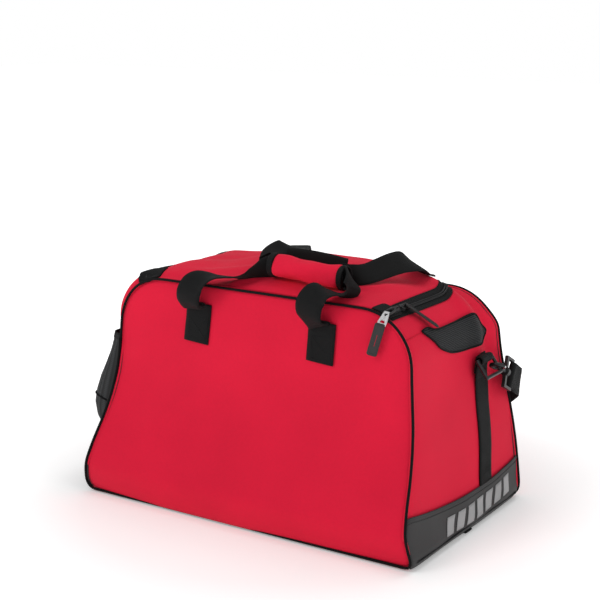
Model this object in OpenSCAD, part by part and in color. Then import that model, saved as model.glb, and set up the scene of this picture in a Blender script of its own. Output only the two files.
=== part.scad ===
/* [Body] */
// Length of the bag at its base, along X
body_w = 550; // [500:5:600]
// Depth of the bag at its base, along Y
body_d = 317; // [290:1:340]
// Height of the front rim above the floor
rim_h = 322; // [300:1:350]
// Radius of the two rounded top corners
corner_r = 75; // [60:1:85]
// Angle by which each end leans inwards
end_lean = 8.07; // [6:0.01:10]
// Angle by which the front leans back
front_lean = 8.2; // [6:0.1:10]
// Angle by which the back leans forward
back_lean = 3.9; // [2:0.1:5]
// Thickness of the padded fabric walls
wall = 4; // [3:0.5:5]
// Height of the dark wipe-clean panel low on each end
grey_h = 58; // [50:1:65]
// Thickness of the runners that the bag stands on
foot_h = 3; // [2:0.5:4]

/* [Lid] */
// Half width of the lid flap, to its zip edge
lid_half_w = 188; // [184:1:190]
// Front to back reach of the lid flap from the bag centre
lid_back = 104; // [100:1:106]
// Radius of the lid's two back corners
lid_corner_r = 60; // [40:1:70]
// Rise of the lid's soft crown
lid_crown = 22; // [16:1:26]
// Width of each zip tape
tape_w = 11; // [9:1:12]

/* [Handles] */
// Width of the carrying webbing
webbing_w = 40; // [36:1:42]
// Distance of each handle leg from the bag centre
handle_x = 102; // [96:1:108]
// Radius of the padded grip
grip_r = 15; // [13:0.5:16]
// Length of the padded grip
grip_len = 122; // [110:1:126]

/* [Shoulder strap] */
// Width of the shoulder strap webbing
strap_w = 38; // [34:1:40]
// Position of the end webbing along Y
ring_y = 75; // [70:1:80]

/* [Hidden] */
$fn = 48;
red = [0.87, 0.16, 0.27];
red_light = [0.90, 0.25, 0.34];
black = [0.12, 0.13, 0.13];
grey = [0.24, 0.24, 0.24];
mesh_grey = [0.2, 0.2, 0.21];
metal = [0.78, 0.78, 0.8];
reflect = [0.65, 0.65, 0.66];

half_w = body_w / 2;
half_d = body_d / 2;
floor_z = foot_h;
top_z = rim_h;
far = 400;
fit = 0.4;
end_top = rim_h - corner_r;
corner_x = (half_w * cos(end_lean) - corner_r - end_top * sin(end_lean)) / cos(end_lean);
piping_r = 2.2;
rail_w = 20;
rail_x = 213;
lid_front = -104;
lid_z = top_z - wall;
lid_edge = 1;
coil_w = 4.5;
rim_cut_x = 140;
patch_t = 2.4;
patch_h = 55;
patch_top = 294;
web_t = 2.6;
ring_r = 2.5;
ring_z = 226;
ring_out = 8;
ring_len = 44;
ring_drop = 26;
ring_tilt = 28;
hook_x = 16.5;
hook_y = ring_y + ring_len / 2;
hook_z = 210;
hook_hang = 30;
hook_in_r = 7;
hook_wire_r = 2.8;
grip_pos = [50, -60, 358];
roll_r = 3.2;
roll_y = 3.4;
roll_z = 296.5;
leg_start = 6;
pocket_bottom = 72;
pocket_top = 228;
pocket_front = -108;
pocket_back = 50;
slider_pos = [194, -62, 318.9];

// Outline of the bag seen from the front, drawn inset by a given amount
function side_x(inset, z) = (half_w * cos(end_lean) - inset - z * sin(end_lean)) / cos(end_lean);
function corner_arc(inset, a0, a1) = [
    for (i = [0 : 12])
        let (a = a0 + (a1 - a0) * i / 12)
        [corner_x + (corner_r - inset) * cos(a), end_top + (corner_r - inset) * sin(a)]
];
function outline(inset, z0) = concat(
    [[side_x(inset, z0), z0]],
    corner_arc(inset, end_lean, 90),
    [for (p = corner_arc(inset, 90, end_lean)) [-p[0], p[1]]],
    [[-side_x(inset, z0), z0]]
);
function front_y(z, inset) = -half_d + z * tan(front_lean) + inset / cos(front_lean);
function back_y(z, inset) = half_d - z * tan(back_lean) - inset / cos(back_lean);
function slope_x(z) = side_x(0, z);

module along_y() {
    rotate([90, 0, 0]) linear_extrude(height = 2 * far, center = true) children();
}

module along_x(length) {
    rotate([90, 0, 90]) linear_extrude(height = length, center = true) children();
}

module between_faces(inset) {
    along_x(2 * far) polygon([
        [front_y(-20, inset), -20], [back_y(-20, inset), -20],
        [back_y(far, inset), far], [front_y(far, inset), far]
    ]);
}

module front_slab(from, to) {
    translate([0, -half_d, 0]) rotate([-front_lean, 0, 0])
        translate([-far, from, -50]) cube([2 * far, to - from, 500]);
}

module back_slab(from, to) {
    translate([0, half_d, 0]) rotate([back_lean, 0, 0])
        translate([-far, -to, -50]) cube([2 * far, to - from, 500]);
}

// The wall that runs up one end, over the top and down the other end
module band() {
    intersection() {
        along_y() difference() {
            polygon(outline(0, floor_z + wall));
            polygon(outline(wall, floor_z));
        }
        between_faces(wall + fit / 4);
    }
}

// The lid's outline seen from above, grown by a margin
module lid_plan(margin) {
    r = lid_corner_r + margin;
    w = lid_half_w + margin;
    b = lid_back + margin;
    translate([-w, -half_d]) square([2 * w, b - r + half_d]);
    translate([-w + r, -half_d]) square([2 * (w - r), b + half_d]);
    for (s = [-1, 1]) translate([s * (w - r), b - r]) circle(r = r, $fn = 96);
}

module lid_column(margin, z0, z1) {
    translate([0, 0, z0]) linear_extrude(height = z1 - z0) lid_plan(margin);
}

module slice_z(z0, z1) {
    translate([-far, -far, z0]) cube([2 * far, 2 * far, z1 - z0]);
}

module right_of(x) {
    translate([x, -far, -10]) cube([far, 2 * far, far + 20]);
}

// Places a shape on the right end: x points out of it, z runs up its slope
module on_end() {
    translate([half_w, 0, 0]) rotate([0, -end_lean, 0]) children();
}

module on_side(side) {
    if (side > 0) children();
    else mirror([1, 0, 0]) children();
}

// Flat webbing through a list of points, its width along one axis
module webbing(points, size) {
    for (i = [0 : len(points) - 2])
        hull() {
            translate(points[i]) cube(size, center = true);
            translate(points[i + 1]) cube(size, center = true);
        }
}

module front_panel() {
    color(red) intersection() {
        along_y() polygon(outline(0, floor_z));
        front_slab(0, wall);
    }
}

module back_panel() {
    color(red) intersection() {
        along_y() polygon(outline(0, floor_z));
        back_slab(0, wall);
    }
}

module base_panel() {
    color(black) intersection() {
        between_faces(wall + fit / 4);
        translate([-half_w + 1, -far, floor_z]) cube([body_w - 2, 2 * far, wall]);
    }
}

module base_board() {
    color(grey) translate([-half_w + 10, -half_d + 10, floor_z + wall])
        cube([body_w - 20, body_d - 20, 3]);
}

// Webbing runners under the base: one end to end, two front to back
module skid_rails() {
    color(black) {
        translate([0, 0, foot_h / 2]) cube([body_w - 8, rail_w, foot_h], center = true);
        for (x = [-rail_x, rail_x])
            translate([x, 0, foot_h / 2]) cube([rail_w, body_d - 6, foot_h], center = true);
    }
}

module end_part(side, z0, z1) {
    on_side(side) intersection() {
        band();
        slice_z(z0, z1);
        right_of(100);
    }
}

module end_upper(side) {
    color(red) end_part(side, grey_h, end_top);
}

module end_lower(side) {
    color(grey) end_part(side, floor_z + wall, grey_h);
}

module shoulder(side) {
    color(red) difference() {
        intersection() {
            end_part(side, end_top, top_z + 1);
            on_side(side) right_of(rim_cut_x);
        }
        lid_column(lid_edge + coil_w + tape_w, 200, 400);
    }
}

module back_rim() {
    color(red) difference() {
        intersection() {
            band();
            slice_z(end_top, top_z + 1);
            translate([-rim_cut_x, 0, 0]) cube([2 * rim_cut_x, far, far]);
        }
        lid_column(lid_edge + coil_w + tape_w, 200, 400);
    }
}

module reflective_bar() {
    color(reflect) on_end() translate([0, -72, 20]) cube([0.8, 150, 16]);
}

module edge_piping() {
    along_y() difference() {
        polygon(outline(-piping_r, floor_z + 0.5));
        polygon(outline(piping_r, floor_z + 0.5 + 2 * piping_r));
    }
}

module front_piping() {
    color(black) intersection() {
        edge_piping();
        front_slab(-2 * piping_r, 0);
    }
}

module back_piping() {
    color(black) intersection() {
        edge_piping();
        back_slab(-2 * piping_r, 0);
    }
}

module rim_zip_tape() {
    color(black) difference() {
        intersection() {
            band();
            slice_z(end_top, top_z + 1);
            lid_column(lid_edge + coil_w + tape_w, 200, 400);
        }
        lid_column(lid_edge, 100, 500);
    }
}

module rim_zip_coil() {
    color(black) difference() {
        intersection() {
            translate([0, 0, 2]) band();
            slice_z(end_top, top_z + 3);
            lid_column(lid_edge + coil_w, 200, 400);
        }
        lid_column(lid_edge, 100, 500);
        band();
    }
}

module zip_patch(side) {
    color(black) on_side(side) difference() {
        intersection() {
            translate([0, 0, 1.6]) band();
            translate([lid_half_w + lid_edge + coil_w, front_y(top_z, wall) + 1, end_top])
                cube([16, 34, 100]);
        }
        band();
    }
}

// Crowned top of the bag: high in the middle, low along all its edges
module lid_dome() {
    intersection() {
        along_x(2 * lid_half_w) polygon(concat(
            [[lid_back, lid_z - 8], [lid_front, lid_z - 8]],
            [for (i = [0 : 16])
                let (u = i / 8 - 1, y = u * (lid_back - lid_front) / 2)
                [y, top_z + lid_crown * (1 - pow(u, 2))]]
        ));
        along_y() polygon(concat(
            [[lid_half_w, lid_z - 8], [-lid_half_w, lid_z - 8]],
            [for (i = [0 : 24])
                let (u = i / 12 - 1, x = u * lid_half_w)
                [x, top_z - 4 * pow(u, 6) + lid_crown * (1 - pow(u, 4))]]
        ));
    }
}

module lid_skin() {
    difference() {
        lid_dome();
        translate([0, 0, -wall]) lid_dome();
        slice_z(0, lid_z - 6);
    }
}

module lid_panel() {
    color(red_light) intersection() {
        lid_skin();
        lid_column(-tape_w - 1, 200, 400);
        translate([-far, lid_front + 3, 0]) cube([2 * far, far, far]);
    }
}

module lid_zip_tape() {
    color(black) difference() {
        intersection() {
            lid_skin();
            lid_column(-1, 200, 400);
            translate([-far, lid_front + 3, 0]) cube([2 * far, far, far]);
        }
        lid_column(-tape_w - 1, 100, 500);
    }
}

module lid_zip_coil() {
    color(black) difference() {
        intersection() {
            translate([0, 0, 1.6]) lid_skin();
            lid_column(-1, 200, 400);
            translate([-far, lid_front + 3, 0]) cube([2 * far, far, far]);
        }
        lid_column(-4, 100, 500);
        lid_dome();
    }
}

module lid_seam() {
    color(black) translate([0, lid_front + 1, lid_z + 1.5]) rotate([0, 90, 0])
        cylinder(r = 1.8, h = 2 * lid_half_w - 30, center = true);
}

// Square patch that sews one handle leg to a face
module near_anchor(side) {
    color(black) {
        translate([side * handle_x, -half_d, 0]) rotate([-front_lean, 0, 0])
            translate([-webbing_w / 2, -patch_t, patch_top - patch_h])
                cube([webbing_w, patch_t, patch_h + 4]);
        translate([side * handle_x, near_roll_y, roll_z]) rotate([0, 90, 0])
            cylinder(r = roll_r, h = webbing_w - 4, center = true);
    }
}

module far_anchor(side) {
    color(black) {
        translate([side * handle_x, half_d, 0]) rotate([back_lean, 0, 0])
            translate([-webbing_w / 2, 0, patch_top - patch_h])
                cube([webbing_w, patch_t, patch_h + 4]);
        translate([side * handle_x, far_roll_y, roll_z]) rotate([0, 90, 0])
            cylinder(r = roll_r, h = webbing_w - 4, center = true);
    }
}

// The folded webbing at the top of each anchor is the roll that its handle turns about
near_roll_y = front_y(roll_z, -patch_t) - roll_y + 0.8;
far_roll_y = back_y(roll_z, -patch_t) + roll_y - 0.8;
leg_size = [webbing_w - 6, web_t, web_t];
near_left_route = [
    [-handle_x, near_roll_y, roll_z + leg_start], [-handle_x - 2, near_roll_y - 2, 326],
    [-90, -114, 344], [-62, -88, 354], [-30, -62, 358]
];
near_right_route = [
    [handle_x, near_roll_y, roll_z + leg_start], [handle_x, near_roll_y - 2, 326],
    [112, -113, 343], [132, -86, 352], [130, -62, 356]
];
far_left_route = [
    [-handle_x, far_roll_y, roll_z + leg_start], [-handle_x + 2, far_roll_y, 334],
    [-92, 112, 349], [-66, 50, 362], [-38, -14, 373], [-20, -36, 362]
];
far_right_route = [
    [handle_x, far_roll_y, roll_z + leg_start], [handle_x + 4, far_roll_y, 334],
    [122, 108, 352], [128, 50, 366], [124, -8, 366], [118, -36, 360]
];

module near_leg_left() {
    color(black) webbing(near_left_route, leg_size);
}

module near_leg_right() {
    color(black) webbing(near_right_route, leg_size);
}

module far_leg_left() {
    color(black) webbing(far_left_route, [leg_size[0] - 8, web_t, web_t]);
}

module far_leg_right() {
    color(black) webbing(far_right_route, [leg_size[0] - 8, web_t, web_t]);
}

module far_middle() {
    color(black) translate([50, grip_pos[1] + grip_r + 6.4, 362]) cube([100, web_t, 30], center = true);
}

module on_grip(x) {
    translate(grip_pos) rotate([0, 3, 0]) translate([x, 0, 0]) rotate([0, 90, 0]) children();
}

module grip_wrap() {
    color(red_light) on_grip(0) cylinder(r = grip_r, h = grip_len - 20, center = true);
}

module grip_binding(side) {
    color(black) on_grip(side * (grip_len / 2 - 5)) cylinder(r = grip_r + 1, h = 9.8, center = true);
}

module slider_body() {
    translate([-4, -8, 0]) cube([8, 16, 1.8]);
    translate([-1.5, -4, 1.8]) cube([3, 8, 3]);
    translate([-4, -5, 4.8]) cube([8, 10, 1.2]);
}

module parked_slider() {
    color(black) translate([slider_pos[0], -86, slider_pos[2]]) rotate([0, 20, 0]) slider_body();
}

module running_slider() {
    color(black) translate([slider_pos[0], slider_pos[1], slider_pos[2]]) rotate([0, 20, 0]) slider_body();
}

module parked_pull() {
    color(metal) translate([slider_pos[0], -106, slider_pos[2] + 4]) difference() {
        translate([-4, -15, 0]) cube([9, 28, 1.8]);
        translate([-1.5, -12, -1]) cube([4, 7, 5]);
    }
}

module parked_strap() {
    color(black) translate([slider_pos[0] + 0.5, -124, slider_pos[2] + 3]) rotate([0, 14, 0])
        translate([-5, -1.5, -58]) cube([10, 3, 57]);
}

module running_pull() {
    color(black) translate([slider_pos[0] + 5.5, slider_pos[1] + 3, slider_pos[2] + 2])
        rotate([0, 0, 42]) rotate([0, 33, 0]) translate([2.6, -4.5, 0]) cube([45, 9, 2.4]);
}

// Half moon of ventilated mesh high on the right end
module vent_shape(grow) {
    intersection() {
        translate([4, 296]) scale([1, 1]) circle(r = 98 + grow, $fn = 96);
        translate([-96 - grow, 246 - grow]) square([192 + 2 * grow, 40 + 2 * grow]);
    }
}

module vent_mesh() {
    color(mesh_grey) intersection() {
        on_end() rotate([90, 0, 90]) linear_extrude(height = 1.2) vent_shape(0);
        slice_z(0, 300);
    }
}

module vent_binding() {
    color(black) on_end() rotate([90, 0, 90]) linear_extrude(height = 1.8) difference() {
        vent_shape(5);
        vent_shape(0.1);
    }
}

// Bellows pocket of mesh on the left end, open at its top
function pocket_outer(inset) = [
    [slope_x(pocket_bottom) - 6, pocket_bottom + inset],
    [slope_x(pocket_bottom) + 12, pocket_bottom + inset],
    [slope_x(104) + 46 - inset, 104 + inset / 2],
    [slope_x(140) + 46 - inset, 140],
    [slope_x(190) + 34 - inset, 190],
    [slope_x(pocket_top) + 22 - inset, pocket_top],
    [slope_x(pocket_top) + 22 - inset, pocket_top + 20],
    [slope_x(pocket_top) - 6, pocket_top + 20]
];

module pocket_wall(z0, z1) {
    mirror([1, 0, 0]) intersection() {
        difference() {
            along_y() polygon(pocket_outer(0));
            along_y() polygon(pocket_outer(2.5));
            along_y() polygon(outline(-0.1, 0));
        }
        translate([0, pocket_front + 2.6, z0]) cube([far, pocket_back - pocket_front - 5.2, z1 - z0]);
    }
}

module pocket_side(y) {
    mirror([1, 0, 0]) intersection() {
        difference() {
            along_y() polygon(pocket_outer(0));
            along_y() polygon(outline(-0.1, 0));
        }
        translate([0, y, 0]) cube([far, 2.5, pocket_top]);
    }
}

module pocket_upper() {
    color(black) pocket_wall(124, pocket_top - 8);
}

module pocket_lower() {
    color(mesh_grey) pocket_wall(0, 124);
}

module pocket_elastic() {
    color(black) pocket_wall(pocket_top - 8, pocket_top + 4);
}

// Webbing that runs up one end and turns over the bar of its ring
module end_web(side) {
    color(black) on_side(side) on_end() {
        translate([0, ring_y - 19, 52]) cube([web_t, 38, ring_z - 56]);
        translate([ring_out, ring_y, ring_z]) rotate([90, 0, 0]) difference() {
            cylinder(r = ring_out - web_t + 0.2, h = 34, center = true);
            cylinder(r = ring_r + fit, h = 36, center = true);
        }
        translate([0, ring_y - 17, ring_z - 6]) cube([ring_out - ring_r - 1.2, 34, 9]);
    }
}

// D-shaped ring: a straight bar and a bow that hangs from it
module end_ring(side) {
    color(metal) on_side(side) on_end() translate([ring_out, ring_y, ring_z]) rotate([0, -ring_tilt, 0]) {
        rotate([90, 0, 0]) cylinder(r = ring_r, h = ring_len, center = true);
        for (s = [-1, 1]) translate([0, s * ring_len / 2, -ring_drop / 2])
            cylinder(r = ring_r, h = ring_drop, center = true);
        translate([0, 0, -ring_drop]) rotate([90, 0, 0])
            cylinder(r = ring_r, h = ring_len, center = true);
        for (s = [-1, 1]) for (z = [0, -ring_drop])
            translate([0, s * ring_len / 2, z]) sphere(r = ring_r);
    }
}

module at_hook(side) {
    on_side(side) on_end() translate([hook_x, hook_y, hook_z]) rotate([-hook_hang, 0, 0]) children();
}

hook_mid_r = hook_in_r + hook_wire_r;
gate_r = 1.5;
hook_mouth = 110;
gate_start = -2;
gate_sweep = 58;

// Hook: an open loop with a neck that turns in the swivel base
module hook(side) {
    color(black) at_hook(side) {
        rotate([0, 0, 90]) rotate_extrude(angle = 360 - hook_mouth) translate([hook_mid_r, 0])
            circle(r = hook_wire_r, $fn = 24);
        translate([0, hook_mid_r, 0]) rotate([-90, 0, 0]) cylinder(r = 3.6, h = 12);
        translate([0, hook_mid_r + 12, 0]) rotate([-90, 0, 0]) cylinder(r = 2.2, h = 11);
        translate([0, hook_mid_r + 20.6, 0]) rotate([-90, 0, 0]) cylinder(r = 4, h = 2.4);
    }
}

// Sprung gate that closes the hook's mouth
module hook_gate(side) {
    color(metal) at_hook(side) rotate([0, 0, gate_start]) rotate_extrude(angle = gate_sweep)
        translate([hook_mid_r, 0]) circle(r = gate_r, $fn = 24);
}

// Swivel base: a collar round the neck and a frame that holds the strap
module hook_base(side) {
    color(black) at_hook(side) {
        translate([0, hook_mid_r + 13, 0]) rotate([-90, 0, 0]) difference() {
            cylinder(r = 6.5, h = 6.4);
            translate([0, 0, -1]) cylinder(r = 2.2 + fit, h = 9);
        }
        for (s = [-1, 1]) translate([0, hook_mid_r + 13, s * (strap_w / 2 + 2)])
            translate([-2.5, 0, -2]) cube([5, 22, 4]);
        for (s = [-1, 1]) translate([-2.5, hook_mid_r + 13, s > 0 ? 5.8 : -strap_w / 2 - 0.1])
            cube([5, 5, strap_w / 2 - 5.7]);
        translate([0, hook_mid_r + 33, 0]) cylinder(r = 2.4, h = strap_w + 6, center = true);
    }
}

strap_half = [
    [268, 151, 178], [264, 166, 170], [245, 177, 157], [192, 184, 110], [122, 190, 54], [40, 196, 23]
];
strap_route = concat(strap_half, [for (i = [len(strap_half) - 1 : -1 : 0])
    [-strap_half[i][0], strap_half[i][1], strap_half[i][2]]]);

module shoulder_strap() {
    color(black) webbing(strap_route, [web_t, web_t, strap_w]);
}

module strap_adjuster() {
    color(black) translate([218, 181, 133]) rotate([0, 42, 0])
        cube([24, 3, strap_w + 8], center = true);
}

front_panel();
back_panel();
base_panel();
base_board();
skid_rails();
end_upper(1);  // right_end_upper
end_lower(1);  // right_end_lower
end_upper(-1);  // left_end_upper
end_lower(-1);  // left_end_lower
shoulder(1);  // right_shoulder
shoulder(-1);  // left_shoulder
back_rim();
reflective_bar();
front_piping();
back_piping();
rim_zip_tape();
rim_zip_coil();
zip_patch(1);  // zip_patch_right
zip_patch(-1);  // zip_patch_left
lid_panel();
lid_zip_tape();
lid_zip_coil();
lid_seam();
near_anchor(-1);  // near_anchor_left
near_anchor(1);  // near_anchor_right
far_anchor(-1);  // far_anchor_left
far_anchor(1);  // far_anchor_right
near_leg_left();
near_leg_right();
grip_wrap();
grip_binding(-1);  // grip_binding_left
grip_binding(1);  // grip_binding_right
far_leg_left();
far_leg_right();
far_middle();
parked_slider();
parked_pull();
parked_strap();
running_slider();
running_pull();
vent_mesh();
vent_binding();
pocket_upper();
pocket_lower();
pocket_side(pocket_front);  // pocket_side_front
pocket_side(pocket_back - 2.5);  // pocket_side_back
pocket_elastic();
end_web(1);  // right_end_web
end_web(-1);  // left_end_web
end_ring(1);  // right_ring
end_ring(-1);  // left_ring
hook(1);  // right_hook
hook(-1);  // left_hook
hook_gate(1);  // right_gate
hook_gate(-1);  // left_gate
hook_base(1);  // right_hook_base
hook_base(-1);  // left_hook_base
shoulder_strap();
strap_adjuster();
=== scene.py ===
import math

import bmesh
import bpy
import numpy as np
from mathutils import Matrix, Vector


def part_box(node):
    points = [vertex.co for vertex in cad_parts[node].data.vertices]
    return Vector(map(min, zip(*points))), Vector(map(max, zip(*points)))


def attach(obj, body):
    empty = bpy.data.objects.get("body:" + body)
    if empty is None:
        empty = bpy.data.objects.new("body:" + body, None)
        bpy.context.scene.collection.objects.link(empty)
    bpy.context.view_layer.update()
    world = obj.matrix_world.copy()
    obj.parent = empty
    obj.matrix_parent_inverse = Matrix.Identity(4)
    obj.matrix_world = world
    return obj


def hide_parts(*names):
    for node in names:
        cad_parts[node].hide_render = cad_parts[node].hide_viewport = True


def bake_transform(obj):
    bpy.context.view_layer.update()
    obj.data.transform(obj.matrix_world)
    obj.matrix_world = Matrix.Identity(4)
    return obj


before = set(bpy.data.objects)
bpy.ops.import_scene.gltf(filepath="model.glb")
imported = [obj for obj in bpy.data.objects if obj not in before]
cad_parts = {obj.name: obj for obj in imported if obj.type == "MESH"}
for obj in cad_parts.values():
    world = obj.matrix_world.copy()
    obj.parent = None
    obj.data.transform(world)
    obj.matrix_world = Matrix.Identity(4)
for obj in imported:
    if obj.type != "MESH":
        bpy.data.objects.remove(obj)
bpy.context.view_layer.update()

# ---------------------------------------------------------------- sizes, from the frame
FRONT_LOW, FRONT_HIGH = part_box("front_panel")
LID_LOW, LID_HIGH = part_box("lid_zip_coil")
HALF_W = FRONT_HIGH[0]
BASE_Z = FRONT_LOW[2]
RIM_Z = FRONT_HIGH[2]
HALF_D = -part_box("base_board")[0][1] + 0.010
CORNER_R = 0.075
CORNER_Z = RIM_Z - CORNER_R
TOP_HALF_W = 0.240
CORNER_X = TOP_HALF_W - CORNER_R
FLARE = HALF_W - TOP_HALF_W
GREY_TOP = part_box("right_end_lower")[1][2]
HINGE_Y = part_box("lid_seam")[0][1] - 0.006
ZIP_HALF_W = LID_HIGH[0] + 0.0095
ZIP_BACK = LID_HIGH[1] + 0.001
ZIP_CORNER = 0.060
ZIP_BEND_X = ZIP_HALF_W - ZIP_CORNER
ZIP_BEND_Y = ZIP_BACK - ZIP_CORNER
CROWN = 0.0310
WEB_W = 0.040
WEB_T = 0.0024
PIPING = 0.0019
CLOTH_T = 0.003
FACE_MIDDLE = 0.165
ANCHOR_X = 0.102
SIDES = (("right", 1), ("left", -1))


# ---------------------------------------------------------------- camera, floor and light
def make_camera():
    """The view from the right front, a little above the bag."""
    data = bpy.data.cameras.new("camera")
    data.lens = 81.5
    data.clip_end = 50
    camera = bpy.data.objects.new("camera", data)
    camera.location = (1.0297, -1.5811, 0.7163)
    camera.rotation_euler = (math.radians(90 - 12.71), 0, math.radians(33.18))
    bpy.context.collection.objects.link(camera)
    bpy.context.scene.camera = camera


def area_light(name, place, target, size, power):
    """A round lamp that looks at a target."""
    data = bpy.data.lights.new(name, "AREA")
    data.shape = "DISK"
    data.size = size
    data.energy = power
    lamp = bpy.data.objects.new(name, data)
    lamp.location = place
    lamp.rotation_euler = (Vector(target) - Vector(place)).to_track_quat("-Z", "Y").to_euler()
    bpy.context.collection.objects.link(lamp)


def make_light():
    """A white studio: an even world, a key from the front left, a fill and a top light."""
    world = bpy.data.worlds.new("studio")
    world.use_nodes = True
    back = world.node_tree.nodes["Background"]
    back.inputs["Color"].default_value = (1, 1, 1, 1)
    path = world.node_tree.nodes.new("ShaderNodeLightPath")
    level = world.node_tree.nodes.new("ShaderNodeMapRange")
    level.inputs["To Min"].default_value = 0.42
    level.inputs["To Max"].default_value = 1.0
    world.node_tree.links.new(path.outputs["Is Camera Ray"], level.inputs["Value"])
    world.node_tree.links.new(level.outputs["Result"], back.inputs["Strength"])
    bpy.context.scene.world = world
    bpy.context.scene.view_settings.view_transform = "Standard"
    area_light("key", (-0.9, -2.2, 2.2), (0, 0, 0.15), 1.3, 21.5)
    area_light("fill", (2.4, -0.6, 1.4), (0, 0, 0.15), 1.3, 8)
    area_light("top", (0.2, 0.6, 2.8), (0, 0, 0.2), 1.6, 16)


# ---------------------------------------------------------------- materials
class Nodes:
    """A short way to write a material's node tree."""

    def __init__(self, name):
        self.material = bpy.data.materials.new(name)
        self.material.use_nodes = True
        self.tree = self.material.node_tree
        self.shader = self.tree.nodes["Principled BSDF"]
        self.coords = self.tree.nodes.new("ShaderNodeTexCoord")

    def add(self, kind, **settings):
        node = self.tree.nodes.new(kind)
        for key, value in settings.items():
            setattr(node, key, value)
        return node

    def link(self, source, target):
        self.tree.links.new(source, target)

    def value(self, socket, number):
        self.shader.inputs[socket].default_value = number

    def math(self, operation, a, b):
        node = self.add("ShaderNodeMath", operation=operation)
        for k, item in enumerate((a, b)):
            if isinstance(item, (int, float)):
                node.inputs[k].default_value = item
            else:
                self.link(item, node.inputs[k])
        return node.outputs[0]

    def noise(self, scale, detail=3.0):
        node = self.add("ShaderNodeTexNoise")
        node.inputs["Scale"].default_value = scale
        node.inputs["Detail"].default_value = detail
        self.link(self.coords.outputs["Object"], node.inputs["Vector"])
        return node.outputs["Fac"]

    def wave(self, scale, direction, source="Object"):
        node = self.add("ShaderNodeTexWave", bands_direction=direction, wave_profile="SIN")
        node.inputs["Scale"].default_value = scale
        node.inputs["Distortion"].default_value = 0.0
        self.link(self.coords.outputs[source], node.inputs["Vector"])
        return node.outputs["Fac"]

    def ramp(self, fac, low, high, at=(0.0, 1.0)):
        node = self.add("ShaderNodeValToRGB")
        node.color_ramp.elements[0].color = (*low, 1)
        node.color_ramp.elements[1].color = (*high, 1)
        node.color_ramp.elements[0].position = at[0]
        node.color_ramp.elements[1].position = at[1]
        self.link(fac, node.inputs["Fac"])
        return node.outputs["Color"]

    def colour(self, socket):
        self.link(socket, self.shader.inputs["Base Color"])

    def spread(self, fac, low, high, socket):
        """A shader value that runs from low to high with a pattern."""
        node = self.add("ShaderNodeMapRange")
        node.inputs["To Min"].default_value = low
        node.inputs["To Max"].default_value = high
        self.link(fac, node.inputs["Value"])
        self.link(node.outputs["Result"], self.shader.inputs[socket])
        return node

    def rough(self, fac, low, high):
        self.spread(fac, low, high, "Roughness")

    def bump(self, heights):
        normal = None
        for height, strength, distance in heights:
            node = self.add("ShaderNodeBump")
            node.inputs["Strength"].default_value = strength
            node.inputs["Distance"].default_value = distance
            self.link(height, node.inputs["Height"])
            if normal is not None:
                self.link(normal, node.inputs["Normal"])
            normal = node.outputs["Normal"]
        self.link(normal, self.shader.inputs["Normal"])


def shade(colour, factor):
    """A lighter or darker tone of a colour."""
    return tuple(min(1.0, c * factor) for c in colour)


def woven_fabric(name, colour, across, along, weave=520.0, sheen=0.04):
    """Plain-weave polyester: two crossed threads, a faint slub and soft colour drift."""
    n = Nodes(name)
    threads = n.math("MULTIPLY", n.wave(weave, across), n.wave(weave, along))
    drift = n.noise(9.0, 2.0)
    slub = n.noise(240.0, 2.0)
    tone = n.math("ADD", n.math("MULTIPLY", drift, 0.7), n.math("MULTIPLY", slub, 0.3))
    n.colour(n.ramp(tone, shade(colour, 0.93), shade(colour, 1.06), (0.3, 0.7)))
    n.rough(slub, 0.62, 0.78)
    n.bump([(threads, 0.25, 0.0002), (slub, 0.12, 0.0002), (n.noise(38.0, 3.0), 0.1, 0.002)])
    n.value("Sheen Weight", sheen)
    n.value("Sheen Roughness", 0.45)
    n.value("Specular IOR Level", 0.07)
    return n.material


def webbing(name, colour):
    """Ribbed nylon webbing. Its UVs are metres: U across the tape, V along it."""
    n = Nodes(name)
    ribs = n.wave(330.0, "X", "UV")
    picks = n.wave(640.0, "Y", "UV")
    wear = n.noise(60.0, 3.0)
    n.colour(n.ramp(n.math("MULTIPLY", ribs, wear), shade(colour, 0.7), shade(colour, 1.7)))
    n.rough(wear, 0.6, 0.8)
    n.bump([(ribs, 0.5, 0.0004), (picks, 0.35, 0.0003)])
    n.value("Sheen Weight", 0.02)
    n.value("Specular IOR Level", 0.14)
    return n.material


def mesh_fabric(name, colour):
    """Knitted air mesh: rows of small dark cells between lighter ridges."""
    n = Nodes(name)
    rows = n.wave(135.0, "X", "UV")
    holes = n.wave(110.0, "Y", "UV")
    cells = n.math("MULTIPLY", rows, n.math("ADD", n.math("MULTIPLY", holes, 0.45), 0.55))
    n.colour(n.ramp(cells, shade(colour, 0.35), shade(colour, 2.6), (0.15, 0.9)))
    n.rough(cells, 0.55, 0.8)
    n.bump([(cells, 0.9, 0.0009), (n.noise(300.0, 2.0), 0.2, 0.0003)])
    n.value("Specular IOR Level", 0.2)
    return n.material


def coated_fabric(name, colour):
    """Satin tarpaulin with a fine leather-like grain and soft rubbed patches."""
    n = Nodes(name)
    grain = n.noise(900.0, 3.0)
    rubbed = n.noise(14.0, 4.0)
    n.colour(n.ramp(rubbed, shade(colour, 0.86), shade(colour, 1.16), (0.3, 0.75)))
    n.rough(rubbed, 0.42, 0.6)
    n.bump([(grain, 0.18, 0.0003), (n.noise(26.0, 2.0), 0.15, 0.002)])
    n.value("Specular IOR Level", 0.3)
    return n.material


def moulded(name, colour, low=0.32, high=0.5, metal=0.0):
    """Moulded plastic or rubber, or plated metal, with faint scuffs."""
    n = Nodes(name)
    scuff = n.noise(120.0, 4.0)
    n.colour(n.ramp(scuff, shade(colour, 0.85), shade(colour, 1.15), (0.35, 0.7)))
    n.rough(scuff, low, high)
    n.bump([(n.noise(700.0, 2.0), 0.08, 0.0002)])
    n.value("Metallic", metal)
    return n.material


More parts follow.
